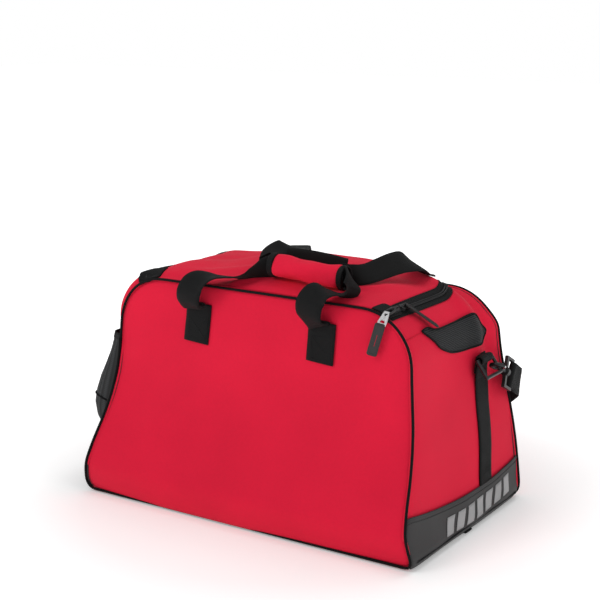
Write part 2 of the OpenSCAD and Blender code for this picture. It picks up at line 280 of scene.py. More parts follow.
RED = (0.725, 0.012, 0.044)
BLACK = (0.0066, 0.0069, 0.0072)
MATERIALS = {name: maker(name, *settings) for name, maker, *settings in (
    ("red_face", woven_fabric, RED, "X", "Z"),
    ("red_end", woven_fabric, RED, "Y", "Z"),
    # The lid and grip red is painted 4% lighter than the faces: painted light for the top, which the lamps
    # light more.
    ("red_lid", woven_fabric, shade(RED, 1.04), "X", "Y", 520.0, 0.06),
    ("lining", woven_fabric, (0.05, 0.05, 0.055), "X", "Z"),
    ("webbing", webbing, BLACK),
    ("piping", woven_fabric, BLACK, "X", "Z", 900.0, 0.02),
    ("zip_tape", webbing, shade(BLACK, 1.1)),
    ("zip_coil", moulded, (0.016, 0.016, 0.017), 0.3, 0.45),
    ("mesh", mesh_fabric, (0.016, 0.017, 0.018)),
    ("tarpaulin", coated_fabric, (0.026, 0.026, 0.0264)),
    ("base", coated_fabric, (0.016, 0.016, 0.017)),
    ("reflective", coated_fabric, (0.38, 0.38, 0.385)),
    ("plastic", moulded, (0.014, 0.0145, 0.015)),
    ("rubber", moulded, (0.013, 0.0135, 0.014), 0.5, 0.68),
    ("nickel", moulded, (0.62, 0.62, 0.63), 0.22, 0.36, 1.0),
    ("gunmetal", moulded, (0.035, 0.035, 0.037), 0.25, 0.4, 0.7),
    ("thread", woven_fabric, (0.02, 0.021, 0.022), "X", "Z", 1500.0, 0.02),
    ("red_thread", woven_fabric, shade(RED, 0.8), "X", "Z", 1500.0, 0.02),
)}


# ---------------------------------------------------------------- making meshes
def free_name(name):
    """A piece that stands for one CAD node must not share its name."""
    return name + "_made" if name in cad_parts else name


def build(name, vertices, faces, material, body, uvs=None):
    """One smooth piece, put on a body when one is named."""
    name = free_name(name)
    mesh = bpy.data.meshes.new(name)
    mesh.from_pydata([tuple(map(float, v)) for v in vertices], [], [tuple(map(int, f)) for f in faces])
    if uvs is not None:
        layer = mesh.uv_layers.new(name="metres")
        for loop in mesh.loops:
            layer.data[loop.index].uv = uvs[loop.vertex_index]
    mesh.polygons.foreach_set("use_smooth", [True] * len(mesh.polygons))
    mesh.materials.append(MATERIALS[material])
    mesh.validate()
    piece = bpy.data.objects.new(name, mesh)
    bpy.context.collection.objects.link(piece)
    if body:
        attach(piece, body)
    return piece


def grid_faces(rows, columns, wrap=False, flip=False):
    """Quads between rows of points; wrapped rows are closed rings."""
    faces = []
    last = columns if wrap else columns - 1
    for r in range(rows - 1):
        for c in range(last):
            d = (c + 1) % columns
            quad = (r * columns + c, r * columns + d, (r + 1) * columns + d, (r + 1) * columns + c)
            faces.append(quad[::-1] if flip else quad)
    return faces


def recalc(piece, gap=1e-7):
    """Joins points that meet and makes the faces agree on one side."""
    work = bmesh.new()
    work.from_mesh(piece.data)
    bmesh.ops.remove_doubles(work, verts=work.verts, dist=gap)
    bmesh.ops.recalc_face_normals(work, faces=work.faces)
    work.to_mesh(piece.data)
    work.free()


def face_out(piece):
    """Turns the faces over if most of them look towards the middle of the bag."""
    middle = Vector((0, 0, 0.15))
    votes = sum(p.area * (1 if p.normal.dot(p.center - middle) > 0 else -1) for p in piece.data.polygons)
    if votes < 0:
        piece.data.flip_normals()


def thicken(piece, thickness, offset=-1.0, inner=None):
    """Give a sheet its thickness, with a lining on the inner side where one is named."""
    modifier = piece.modifiers.new("solid", "SOLIDIFY")
    modifier.thickness = thickness
    modifier.offset = offset
    modifier.use_even_offset = True
    if inner:
        piece.data.materials.append(MATERIALS[inner])
        modifier.material_offset = 1
    flat = piece.data
    solid = piece.evaluated_get(bpy.context.evaluated_depsgraph_get())
    done = bpy.data.meshes.new_from_object(solid)
    piece.modifiers.clear()
    piece.data = done
    bpy.data.meshes.remove(flat)


def sheet(name, rows, material, thickness, uvs=None, body="shell", inner=None):
    """Cloth through rows of points, its good side away from the middle of the bag."""
    piece = build(name, np.vstack(rows), grid_faces(len(rows), len(rows[0])), material, body, uvs)
    recalc(piece)
    face_out(piece)
    thicken(piece, thickness, inner=inner)
    return piece


def unit(v):
    """Directions of length one."""
    v = np.asarray(v, float)
    return v / np.maximum(np.linalg.norm(v, axis=-1, keepdims=True), 1e-12)


def run_length(points):
    """Distance along a line of points, at each of them."""
    return np.concatenate([[0], np.cumsum(np.linalg.norm(np.diff(points, axis=0), axis=1))])


def smooth_path(points, count):
    """A Catmull-Rom curve through the points, resampled evenly."""
    p = np.asarray(points, float)
    ends = np.vstack([2 * p[0] - p[1], p, 2 * p[-1] - p[-2]])
    fine = []
    for a, b, c, d in zip(ends[:-3], ends[1:-2], ends[2:-1], ends[3:]):
        t = np.linspace(0, 1, 24, endpoint=False)[:, None]
        fine.append(0.5 * (2 * b + (c - a) * t + (2 * a - 5 * b + 4 * c - d) * t**2
                           + (3 * b - a - 3 * c + d) * t**3))
    fine = np.vstack(fine + [p[-1:]])
    run = run_length(fine[:, :3])
    at = np.linspace(0, run[-1], count)
    return np.stack([np.interp(at, run, fine[:, k]) for k in range(fine.shape[1])], 1)


def tangents(path, closed=False):
    """The direction of a path at each of its points."""
    if closed:
        return unit(np.roll(path, -1, 0) - np.roll(path, 1, 0))
    return unit(np.gradient(path, axis=0))


def tape_section(thickness):
    """Cross-section of a woven tape one unit wide: flat faces and round selvedges."""
    across = np.linspace(-1, 1, 9)
    half = 0.5 * thickness * (1 - 0.55 * np.abs(across) ** 8)
    top = [(0.5 * a, h) for a, h in zip(across, half)]
    return np.array(top + [(a, -h) for a, h in top[::-1]])


def sweep_faces(rows, sides, closed, flip):
    """Faces of a swept section, joined into a ring or closed by a cap at each end."""
    faces = grid_faces(rows, sides, wrap=True, flip=flip)
    first = (rows - 1) * sides
    step = -1 if flip else 1
    if closed:
        ring = [(first + c, first + (c + 1) % sides, (c + 1) % sides, c) for c in range(sides)]
        return faces + [(q[0], q[3], q[2], q[1]) if flip else q for q in ring]
    return faces + [tuple(range(sides))[::-step], tuple(range(first, first + sides))[::step]]


def ribbon(name, path, across, width, thickness, body="shell", material="webbing",
           closed=False):
    """Flat tape swept along a path, its width along the given directions."""
    path = np.asarray(path, float)
    t = tangents(path, closed)
    a = np.asarray(across, float) * np.ones_like(path)
    a = unit(a - (a * t).sum(1, keepdims=True) * t)
    up = np.cross(t, a)
    section = tape_section(thickness)
    widths = np.broadcast_to(width, len(path))
    rings = [p + u * (section[:, :1] * w) + v * section[:, 1:] for p, u, v, w in zip(path, a, up, widths)]
    faces = sweep_faces(len(path), len(section), closed, False)
    uvs = [(float(s), float(r)) for r, w in zip(run_length(path), widths) for s in section[:, 0] * w]
    return build(name, np.vstack(rings), faces, material, body, uvs)


def tube(name, path, radius, material="piping", body="shell", closed=False, sides=10,
         flat=(0, 0, 1)):
    """Round cord swept along a path; radius may change along it."""
    path = np.asarray(path, float)
    t = tangents(path, closed)
    side = unit(np.cross(t, np.array(flat, float)) + 1e-9)
    up = np.cross(side, t)
    radius = np.broadcast_to(radius, len(path))
    angle = np.linspace(0, 2 * math.pi, sides, endpoint=False)
    rings = [p + r * (np.outer(np.cos(angle), u) + np.outer(np.sin(angle), v))
             for p, u, v, r in zip(path, side, up, radius)]
    faces = sweep_faces(len(path), sides, closed, True)
    return build(name, np.vstack(rings), faces, material, body)


def joined(name, parts, material, body):
    """One mesh from several (vertices, faces) lists."""
    vertices, faces, start = [], [], 0
    for part_vertices, part_faces in parts:
        vertices += [tuple(v) for v in part_vertices]
        faces += [tuple(i + start for i in f) for f in part_faces]
        start += len(part_vertices)
    return build(name, vertices, faces, material, body)


def stitch_row(points, normal, length=0.0028, gap=0.0014, radius=0.00032):
    """Short raised threads along a line of points that lie on a surface."""
    points = np.asarray(points, float)
    normals = np.asarray(normal, float) * np.ones_like(points)
    run = run_length(points)
    parts = []
    for start in np.arange(gap, run[-1] - length, length + gap):
        at = start + np.linspace(0, 1, 5) * length
        p = np.stack([np.interp(at, run, points[:, k]) for k in range(3)], 1)
        n = unit(np.stack([np.interp(at, run, normals[:, k]) for k in range(3)], 1))
        rise = np.array([-0.6, 0.6, 1.0, 0.6, -0.6])[:, None] * radius
        p = p + n * rise
        t = tangents(p)
        side = np.cross(t, n)
        size = np.array([0.5, 1, 1, 1, 0.5]) * radius
        angle = np.linspace(0, 2 * math.pi, 6, endpoint=False)
        rings = [q + r * (np.outer(np.cos(angle), s) + np.outer(np.sin(angle), m))
                 for q, s, m, r in zip(p, side, n, size)]
        faces = grid_faces(5, 6, wrap=True) + [tuple(range(6))[::-1], tuple(range(24, 30))]
        parts.append((np.vstack(rings), faces))
    return parts


def plate(name, loops, thickness, bevel, place, body, material="plastic"):
    """Flat part with rounded edges, cut from closed outlines; inner loops are holes."""
    name = free_name(name)
    curve = bpy.data.curves.new(name, "CURVE")
    curve.dimensions = "2D"
    curve.fill_mode = "BOTH"
    curve.extrude = max(thickness / 2 - bevel, 1e-5)
    curve.bevel_depth = bevel
    curve.bevel_resolution = 2
    for loop in loops:
        spline = curve.splines.new("POLY")
        spline.points.add(len(loop) - 1)
        for point, (x, y) in zip(spline.points, loop):
            point.co = (x, y, 0, 1)
        spline.use_cyclic_u = True
    holder = bpy.data.objects.new(name, curve)
    bpy.context.collection.objects.link(holder)
    bpy.context.view_layer.update()
    graph = bpy.context.evaluated_depsgraph_get()
    mesh = bpy.data.meshes.new_from_object(holder.evaluated_get(graph))
    bpy.data.objects.remove(holder)
    mesh.transform(place)
    merge = bmesh.new()
    merge.from_mesh(mesh)
    bmesh.ops.remove_doubles(merge, verts=merge.verts, dist=1e-6)
    bmesh.ops.recalc_face_normals(merge, faces=merge.faces)
    merge.to_mesh(mesh)
    merge.free()
    mesh.materials.clear()
    mesh.materials.append(MATERIALS[material])
    piece = bpy.data.objects.new(name, mesh)
    bpy.context.collection.objects.link(piece)
    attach(piece, body)
    return piece


def rounded_rect(width, height, radius, centre=(0, 0), steps=5):
    """Outline of a rectangle with round corners."""
    points = []
    for k, (sx, sy) in enumerate(((1, 1), (-1, 1), (-1, -1), (1, -1))):
        for a in np.linspace(0, math.pi / 2, steps):
            angle = a + k * math.pi / 2
            points.append((centre[0] + sx * (width / 2 - radius) + radius * math.cos(angle),
                           centre[1] + sy * (height / 2 - radius) + radius * math.sin(angle)))
    return points


# ---------------------------------------------------------------- the bag's surfaces
def fair(points):
    """A smooth function through (height, value) pairs."""
    z, v = np.array(points, float).T
    fine = np.linspace(z[0] - 0.04, z[-1] + 0.04, 400)
    kernel = np.hanning(33)
    value = np.convolve(np.interp(fine, z, v), kernel / kernel.sum(), "same")
    return lambda h: np.interp(h, fine[16:-16], value[16:-16])


front_y = fair([(0.0, -HALF_D), (0.020, -0.167), (0.048, -0.1725), (0.080, -0.159), (0.113, -0.1405),
                (0.145, -0.1275), (0.177, -0.119), (0.220, -0.1145), (0.274, -0.112), (0.36, -0.112)])
back_y = fair([(0.0, HALF_D), (0.020, 0.162), (0.048, 0.166), (0.080, 0.168), (0.113, 0.1665),
               (0.145, 0.162), (0.177, 0.156), (0.220, 0.147), (0.274, 0.139), (0.36, 0.134)])


def depth_y(z, share):
    """Y at a share of the way from the front face to the back face."""
    return front_y(z) + share * (back_y(z) - front_y(z))


def depth_share(y, z):
    """The share of the way from the front face to the back face."""
    return (y - front_y(z)) / (back_y(z) - front_y(z))


def side_x(z):
    """Half width of the outline at a height, up to the top corner."""
    z = np.asarray(z, float)
    low = TOP_HALF_W + FLARE * np.clip(1 - z / CORNER_Z, 0, 1) ** 1.3
    tuck = 0.010 * np.clip(1 - z / 0.020, 0, 1) ** 2
    rise = np.clip((z - CORNER_Z) / CORNER_R, 0, 1)
    return np.where(z < CORNER_Z, low - tuck, CORNER_X + CORNER_R * np.sqrt(1 - rise**2))


def top_z(x):
    """Height of the rim at a distance from the middle, over the rounded corners."""
    over = np.clip((np.abs(x) - CORNER_X) / CORNER_R, 0, 1)
    return CORNER_Z + CORNER_R * np.sqrt(1 - over**2)


def outline(count_side=34, count_corner=16, count_top=25):
    """(x, z) from the base at the right end, over the top, to the base at the left end."""
    z = BASE_Z + (CORNER_Z - BASE_Z) * np.linspace(0, 1, count_side)
    side = np.stack([side_x(z), z], 1)
    a = np.linspace(0, math.pi / 2, count_corner)[1:]
    corner = np.stack([CORNER_X + CORNER_R * np.cos(a), CORNER_Z + CORNER_R * np.sin(a)], 1)
    x = np.linspace(CORNER_X, 0, count_top // 2 + 1)[1:]
    top = np.stack([x, np.full_like(x, RIM_Z)], 1)
    half = np.vstack([side, corner, top])
    return np.vstack([half, half[-2::-1] * (-1, 1)])


def ripple(x, y, z, scale, height):
    """Smooth, fixed unevenness of soft cloth."""
    return height * (np.sin(x * scale * 1.7 + 2.1 * np.sin(z * scale + 0.7)) * np.cos(y * scale * 1.3 + 1.9)
                     + 0.6 * np.sin(z * scale * 2.3 + 1.7 * np.cos(x * scale * 0.9 + 1.1)))


def fold(x, z, start, end, width, height):
    """A soft crease along a line between two points."""
    a, b = np.array(start), np.array(end)
    along = b - a
    length = np.linalg.norm(along)
    along = along / length
    dx, dz = x - a[0], z - a[1]
    t = (dx * along[0] + dz * along[1]) / length
    off = -dx * along[1] + dz * along[0]
    fade = np.clip(t / 0.25, 0, 1) * np.clip((1 - t) / 0.35, 0, 1)
    return height * np.exp(-((off / width) ** 2)) * fade


def face_surface(x, z, back):
    """Y of the large front or back face."""
    edge = np.minimum(side_x(z) - np.abs(x), RIM_Z - z)
    valley = 0.0022 * np.exp(-np.clip(edge, 0, 1) / 0.006)
    pillow = 0.0035 * np.clip(1 - np.abs(x) / 0.26, 0, 1) * np.clip((RIM_Z - z) / 0.1, 0, 1)
    soft = ripple(x, 0 * x, z, 13.0, 0.0016)
    soft = soft + fold(x, z, (-0.20, 0.10), (-0.06, 0.20), 0.022, 0.0026)
    soft = soft + fold(x, z, (0.235, 0.06), (0.13, 0.12), 0.018, 0.0024)
    soft = soft + fold(x, z, (-0.235, 0.20), (-0.13, 0.27), 0.014, 0.0024)
    if back:
        return back_y(z) + pillow - valley + soft
    return front_y(z) - pillow + valley - soft


def large_face(name, back, node):
    """A plain panel inside the outline: rings that shrink towards the middle."""
    rim = outline()
    low = rim[0][1]
    floor_row = [(x, low) for x in np.linspace(rim[-1][0], rim[0][0], 61)[1:-1]]
    loop = np.vstack([rim, floor_row])
    centre = np.array([0, FACE_MIDDLE])
    rings, count = 30, len(loop)
    vertices = []
    for k in range(rings):
        share = 1 - k / rings
        p = centre + (loop - centre) * share
        drop = droop(1.0, p[:, 1]) if back else 0 * p[:, 1]
        vertices += [(x, face_surface(x, z, back), z - d) for (x, z), d in zip(p, drop)]
    vertices.append((0, float(face_surface(np.array(0.0), np.array(FACE_MIDDLE), back)), FACE_MIDDLE))
    faces = grid_faces(rings, count, wrap=True, flip=not back)
    last = (rings - 1) * count
    for c in range(count):
        tri = (last + c, last + (c + 1) % count, len(vertices) - 1)
        faces.append(tri if back else tri[::-1])
    piece = build(name, vertices, faces, "red_face", "shell")
    recalc(piece)
    thicken(piece, CLOTH_T, inner="lining")
    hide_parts(node)


def smooth_step(t):
    """Rises from nought to one with soft ends."""
    t = np.clip(t, 0, 1)
    return t * t * (3 - 2 * t)


def droop(v, z):
    """The rim hangs lower at the very back than at the front."""
    return 0.0150 * smooth_step((v - 0.78) / 0.22) * smooth_step((z - 0.245) / 0.055)


def corner_puff(x, z, v):
    """The top left corner is blown out a little behind the front piping."""
    corner = smooth_step((-x - 0.11) / 0.07) * smooth_step((z - 0.19) / 0.09)
    v = np.clip(v, 0, 1)
    top = smooth_step((z - RIM_Z + 0.012) / 0.010)
    rise = 1 - np.exp(-np.maximum(v - 0.05 * top, 0) / (0.012 + 0.06 * top))
    return 0.0135 * corner * rise * (1 - v) ** 0.5


def gusset_offset(v, z):
    """How far the end and top wall stands out (+) or is drawn in (-) across its depth."""
    valley = -0.0022 * (np.exp(-v / 0.03) + np.exp(-(1 - v) / 0.03))
    belly = -0.0035 * np.sin(math.pi * np.clip(v, 0, 1)) * np.clip((z - 0.10) / 0.1, 0, 1)
    crease = -0.0075 * np.exp(-(((v - 0.88) / 0.07) ** 2)) * np.clip((z - 0.16) / 0.08, 0, 1)
    roll = 0.004 * np.exp(-(((v - 0.74) / 0.06) ** 2)) * np.clip((z - 0.16) / 0.08, 0, 1)
    return valley + belly + crease + roll


def wall_point(x, z, nx, nz, y, side=1):
    """A point of the end and top wall above an outline point, at a depth."""
    v = depth_share(y, z)
    out = gusset_offset(v, z) + ripple(x, y, z, 21.0, 0.0006)
    out = out + (corner_puff(-x, z, v) if side < 0 else 0)
    return np.stack([x + nx * out, y + 0 * x, z + nz * out - droop(v, z)], -1)


def outline_normals(points):
    """Outward directions along the outline."""
    t = tangents(points)
    return np.stack([t[:, 1], -t[:, 0]], 1)


def end_point(side, y, z, lift=0.0):
    """A point on an end wall, lifted off it; y and z may be arrays."""
    y, z = np.broadcast_arrays(np.asarray(y, float), np.asarray(z, float))
    step = 1e-4
    slope = (side_x(z + step) - side_x(z - step)) / (2 * step)
    n = unit(np.stack([np.ones_like(slope), -slope], -1))
    p = wall_point(side_x(z), z, n[..., 0], n[..., 1], y, side)
    p = p + np.asarray(lift)[..., None] * np.stack([n[..., 0], 0 * y, n[..., 1]], -1)
    return p * (side, 1, 1)


def zip_x(y):
    """Half width of the lid at a depth: straight sides, then a round corner."""
    over = np.clip((np.asarray(y, float) - ZIP_BEND_Y) / ZIP_CORNER, 0, 1)
    return ZIP_BEND_X + ZIP_CORNER * np.sqrt(1 - over**2)


def zip_line(margin):
    """The U of the zip seen from above, from front right round the back to front left."""
    r = ZIP_CORNER + margin
    right = [(ZIP_HALF_W + margin, y) for y in np.arange(HINGE_Y, ZIP_BEND_Y, 0.004)]
    bend = np.linspace(0, math.pi / 2, 24)
    corner = [(ZIP_BEND_X + r * math.cos(a), ZIP_BEND_Y + r * math.sin(a)) for a in bend]
    middle = np.linspace(ZIP_BEND_X, 0, 32)[1:]
    half = right + corner + [(x, ZIP_BACK + margin) for x in middle]
    return np.array(half + [(-x, y) for x, y in half[-2::-1]])


def rim_surface(x, y):
    """Height of the top wall outside the lid, and its normal."""
    z = top_z(x)
    over = np.clip((np.abs(x) - CORNER_X) / CORNER_R, 0, 0.98)
    n = np.stack([np.sign(x) * over, 0 * x, np.sqrt(1 - over**2)], -1)
    v = depth_share(y, z)
    out = gusset_offset(v, z) + corner_puff(x, z, v)
    return np.stack([x, y + 0 * x, z - droop(v, z)], -1) + n * out[..., None], n


def lid_height(x, y):
    """Height of the crowned lid above the line of its zip."""
    half = zip_x(y)
    s = np.clip(np.abs(x) / np.maximum(half, 1e-6), 0, 1)
    u = np.clip((y - HINGE_Y) / (ZIP_BACK - HINGE_Y), 0, 1)
    peak = 0.66
    rise = np.sin(0.5 * math.pi * np.clip(u / peak, 0, 1)) ** 0.85
    fall = 1 - np.clip((u - peak) / (1 - peak), 0, 1) ** 2.4
    body = np.where(u < peak, rise, fall) * (1 - s ** np.where(x < 0, 1.9, 3.2)) ** 0.9
    soft = ripple(x, y, 0 * x, 24.0, 0.0011)
    soft = soft + fold(x, y, (-0.17, -0.09), (0.02, -0.02), 0.012, 0.0028)
    soft = soft + fold(x, y, (-0.06, -0.108), (-0.01, -0.070), 0.006, 0.0040)
    soft = soft + fold(x, y, (0.10, -0.105), (0.18, 0.01), 0.012, 0.0028)
    soft = soft + fold(x, y, (-0.19, -0.02), (-0.05, 0.05), 0.016, -0.0030)
    soft = soft + fold(x, y, (0.185, 0.02), (0.06, 0.06), 0.016, -0.0026)
    edge = np.clip(np.minimum(1 - s, np.minimum(u, 1 - u)) / 0.06, 0, 1)
    base, _ = rim_surface(np.sign(x) * np.minimum(np.abs(x), half), y)
    return base[..., 2] + CROWN * body + soft * edge


def lid_point(x, y, lift=0.0):
    """A point on the lid; towards its edges it follows the zip on the shell."""
    side = np.sign(x)
    half = zip_x(y)
    edge, _ = rim_surface(side * half, y)
    drift = (edge[..., 0] - side * half) * np.clip(np.abs(x) / half, 0, 1) ** 3
    return np.stack([x + drift, y + 0 * x, lid_height(x, y) + lift], -1)


# ---------------------------------------------------------------- shell pieces
def make_gusset():
    """The red wall: both ends above the grey panels, the corners and the strip behind the lid."""
    rim = outline()
    rim = rim[: len(rim) // 2 + 1]
    low = GREY_TOP - 0.014
    start = int(np.searchsorted(rim[:, 1], low + 0.002))
    rim = np.vstack([[side_x(low), low], rim[start:]])
    run = run_length(rim)
    margin = 0.0092
    bend_r = ZIP_CORNER + margin
    top_front, top_back = float(front_y(RIM_Z)), float(back_y(RIM_Z))
    across = np.linspace(0, 1, 56)

    def wall_row(at, y, side):
        """Points at distances up the end and over the top, at the depth y of the rim."""
        x, z = np.interp(at, run, rim[:, 0]), np.interp(at, run, rim[:, 1])
        n = outline_normals(np.stack([x, z], 1))
        deep = depth_y(z, (y - top_front) / (top_back - top_front))
        return wall_point(x, z, n[:, 0], n[:, 1], deep, side) * (side, 1, 1)

    def reach(y):
        """How far up and over the wall goes at a depth: to the edge of the zip's opening."""
        over = np.clip((y - ZIP_BEND_Y) / bend_r, 0, 1)
        edge = ZIP_BEND_X + bend_r * math.sqrt(1 - over**2)
        return np.interp(-edge, -rim[:, 0], run)

    back_edge = ZIP_BACK + margin
    last = reach(back_edge)
    full = np.concatenate([across * last, last + np.linspace(0, 1, 18)[1:] * (run[-1] - last)])
    depths = list(np.linspace(top_front, ZIP_BEND_Y, 26))
    depths += [ZIP_BEND_Y + bend_r * math.sin(a) for a in np.linspace(0, math.pi / 2, 20)[1:]]
    parts = []
    for side in (1, -1):
        beside = [wall_row(across * reach(y), y, side) for y in depths]
        behind = [wall_row(full, y, side) for y in np.linspace(back_edge, top_back, 6)]
        parts += [(np.vstack(rows), grid_faces(len(rows), len(rows[0]))) for rows in (beside, behind)]
    piece = joined("red_gusset", parts, "red_end", "shell")
    recalc(piece, 2e-5)
    face_out(piece)
    thicken(piece, CLOTH_T, inner="lining")
    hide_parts("right_end_upper", "left_end_upper", "right_shoulder", "left_shoulder", "back_rim")


def grey_top(y):
    """The grey panel's upper edge dips in the middle of the end."""
    return GREY_TOP - 0.0075 + 0.0175 * (np.clip((y - 0.035) / 0.19, -1, 1)) ** 2


def grey_point(side, y, z, lift=0.0):
    """A point on a grey end panel, which is slightly slack between its seams."""
    share = np.clip((z - BASE_Z) / (GREY_TOP - BASE_Z), 0, 1)
    slack = 0.0012 * np.sin(y * 60 + z * 60) * np.sin(math.pi * share)
    return end_point(side, y, z, 0.0022 + slack + lift)


def make_grey_end(word, side):
    """Dark coated panel low on an end, its bound upper edge and the stitches under it."""
    rows = []
    v = np.linspace(0, 1, 60)
    for t in np.linspace(0, 1, 18):
        z = BASE_Z + 0.001 + t * (grey_top(depth_y(0.03, v)) - BASE_Z - 0.001)
        rows.append(grey_point(side, depth_y(z, v), z))
    piece = sheet(word + "_grey", rows, "tarpaulin", 0.0024)
    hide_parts(word + "_end_lower")
    y = depth_y(0.06, np.linspace(0.004, 0.996, 70))
    line = grey_point(side, y, grey_top(y), 0.0006)
    up = grey_point(side, y, grey_top(y) + 0.003, 0.0006) - line
    ribbon(word + "_panel_hem", line, up, 0.005, 0.0012, material="base")
    below = grey_point(side, y, grey_top(y) - 0.0048, 0.0003)
    joined(word + "_panel_stitches", stitch_row(below, (side, 0, 0.1)), "thread", "shell")


def make_piping(name, back, node):
    """Round piping along the outline of a large face, closed along the base."""
    rim = outline(60, 24, 41)
    low = rim[0][1] + 0.001
    bottom = [(x, low) for x in np.linspace(rim[-1][0], rim[0][0], 90)[1:-1]]
    loop = np.vstack([rim, bottom])
    y = back_y(loop[:, 1]) + 0.0012 if back else front_y(loop[:, 1]) - 0.0012
    z = loop[:, 1] - (droop(1.0, loop[:, 1]) if back else 0)
    path = np.stack([loop[:, 0], y, z], 1)
    for _ in range(3):
        path = 0.25 * np.roll(path, 1, 0) + 0.5 * path + 0.25 * np.roll(path, -1, 0)
    piece = tube(name, path, PIPING, closed=True, flat=(0, 1, 0))
    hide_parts(node)


def make_base():
    """Black tray: flat underside, a turned-up edge all round and rounded corners."""
    ring = rounded_rect(2 * HALF_W, 2 * HALF_D, 0.014, steps=8)
    dense = []
    for a, b in zip(ring, ring[1:] + ring[:1]):
        steps = max(1, int(math.dist(a, b) / 0.012))
        dense += [tuple(np.array(a) + (np.array(b) - a) * t / steps) for t in range(steps)]
    ring = np.array(dense)
    levels = [(0.0, 0.0100), (0.0012, 0.0088), (0.0030, 0.0065), (0.0040, 0.0046), (0.0052, 0.0032),
              (0.0095, 0.0027), (0.0150, 0.0027)]
    vertices = []
    for inset, z in levels:
        scale = np.array([(HALF_W - inset) / HALF_W, (HALF_D - inset) / HALF_D])
        vertices += [(x, y, z) for x, y in ring * scale]
    for share in (0.75, 0.5, 0.25):
        vertices += [(x, y, 0.0027 + 0.0006 * math.sin(x * 40) * math.sin(y * 30)) for x, y in ring * share]
    vertices.append((0, 0, 0.0027))
    count, rings = len(ring), len(levels) + 3
    faces = grid_faces(rings, count, wrap=True)
    last = (rings - 1) * count
    faces += [(last + c, last + (c + 1) % count, len(vertices) - 1) for c in range(count)]
    piece = build("base_tray", vertices, faces, "base", "shell")
    recalc(piece)
    thicken(piece, 0.002, 1.0 if piece.data.polygons[0].normal.z > 0 else -1.0)
    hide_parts("base_panel")


def make_runners():
    """Webbing runners sewn under the tray: one along it and a crossing pair at each end."""
    low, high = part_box("skid_rails")
    z = 0.5 * (low[2] + high[2])
    height = high[2] - low[2]
    x = np.linspace(low[0], high[0], 60)
    long_path = np.stack([x, 0 * x, 0 * x + z], 1)
    first = ribbon("runner_long", long_path, (0, 1, 0), 0.020, height)
    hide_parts("skid_rails")
    for word, side in SIDES:
        for part, sy in (("front", -1), ("back", 1)):
            y = np.linspace(0.0106, high[1], 30) * sy
            path = np.stack([0 * y + side * 0.213, y, 0 * y + z], 1)
            ribbon(f"runner_{part}_{word}", path, (1, 0, 0), 0.020, height)


def dress(name, material):
    """Gives a CAD node a better material."""
    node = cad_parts[name]
    for slot in node.material_slots:
        slot.material = MATERIALS[material]
    if not node.material_slots:
        node.data.materials.append(MATERIALS[material])


# ---------------------------------------------------------------- lid and zip
def bend_at_seam(piece):
    """Bakes the piece's placement into its mesh; the front of the lid lies on the shell, and nothing is bent
    at the seam.
    """
    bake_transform(piece)


def make_lid():
    """The crowned red lid, from its seam at the front to the round corners at the back."""
    margin = 0.0086
    r = ZIP_CORNER - margin
    straight = list(np.linspace(HINGE_Y + 0.001, ZIP_BEND_Y, 40))
    bend = [ZIP_BEND_Y + r * math.sin(a) for a in np.linspace(0, math.pi / 2, 26)[1:]]
    rows = []
    for y in straight + bend:
        over = max(0.0, (y - ZIP_BEND_Y) / r)
        half = ZIP_BEND_X + r * math.sqrt(max(0.0, 1 - over**2))
        x = np.linspace(-half, half, 97)
        rows.append(lid_point(x, np.full_like(x, y)))
    piece = sheet("lid_cloth", rows, "red_lid", 0.0026, body=None, inner="lining")
    bend_at_seam(piece)
    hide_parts("lid_panel")


def on_rim(x, y, lift):
    """A point above the top wall, straight out from it."""
    surface, normal = rim_surface(x, y)
    return surface + normal * lift


def half_tape(name, inner, outer, place, lift, width, thickness, body):
    """One half of the zip tape, between two lines seen from above."""
    shares = np.linspace(0, 1, 7)
    lines = [inner + (outer - inner) * share for share in shares]
    rows = [place(p[:, 0], p[:, 1], lift) for p in lines]
    uvs = [(width * share, r) for share in shares for r in run_length(inner)]
    return sheet(name, rows, "zip_tape", thickness, uvs, body)


def lid_tape():
    """The lid's half of the zip tape, lying between the cloth and the coil."""
    inner, outer = zip_line(-0.0092), zip_line(-0.0014)
    piece = half_tape("lid_tape", inner, outer, lid_point, 0.0006, 0.0078, 0.0016, None)
    bend_at_seam(piece)
    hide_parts("lid_zip_tape")
    row = lid_point(*zip_line(-0.0076).T, 0.0012)
    stitches = joined("lid_tape_stitches", stitch_row(row, (0, 0, 1)), "thread", None)
    bend_at_seam(stitches)


def rim_tape():
    """The shell's half of the zip tape."""
    inner, outer = zip_line(0.0014), zip_line(0.0100)
    piece = half_tape("rim_tape", inner, outer, on_rim, 0.0007, 0.0086, 0.0018, "shell")
    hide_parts("rim_zip_tape")
    surface, normal = rim_surface(*zip_line(0.0082).T)
    stitches = stitch_row(surface + normal * 0.0012, normal)
    joined("rim_tape_stitches", stitches, "thread", "shell")


def coils():
    """Two rows of moulded coil, each a tube with a turn every 1.4 mm."""
    for name, margin, body, node in (("rim_coil", 0.0014, "shell", "rim_zip_coil"),
                                     ("lid_coil", -0.0014, None, "lid_zip_coil")):
        path = on_rim(*smooth_path(zip_line(margin), 1300).T, 0.0022)
        radius = 0.00125 + 0.00028 * np.where(np.arange(len(path)) % 2 == 0, 1.0, -1.0)
        piece = tube(name, path, radius, "zip_coil", body, sides=8)
        if body is None:
            bend_at_seam(piece)
        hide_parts(node)


def zip_patches():
    """Ribbed tape ends that cover both ends of the zip, just behind the front piping."""
    for word, side in SIDES:
        x = side * (ZIP_HALF_W - 0.006 + np.linspace(-0.013, 0.013, 9))
        depths = np.linspace(float(front_y(RIM_Z)) + 0.002, -0.080, 22)
        rows = [on_rim(x, np.full_like(x, y), 0.0040 + 0.0005 * (k % 2)) for k, y in enumerate(depths)]
        uvs = [(float(across), float(y)) for y in depths for across in x]
        piece = sheet(f"zip_end_{word}", rows, "zip_tape", 0.0022, uvs)
        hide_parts(f"zip_patch_{word}")


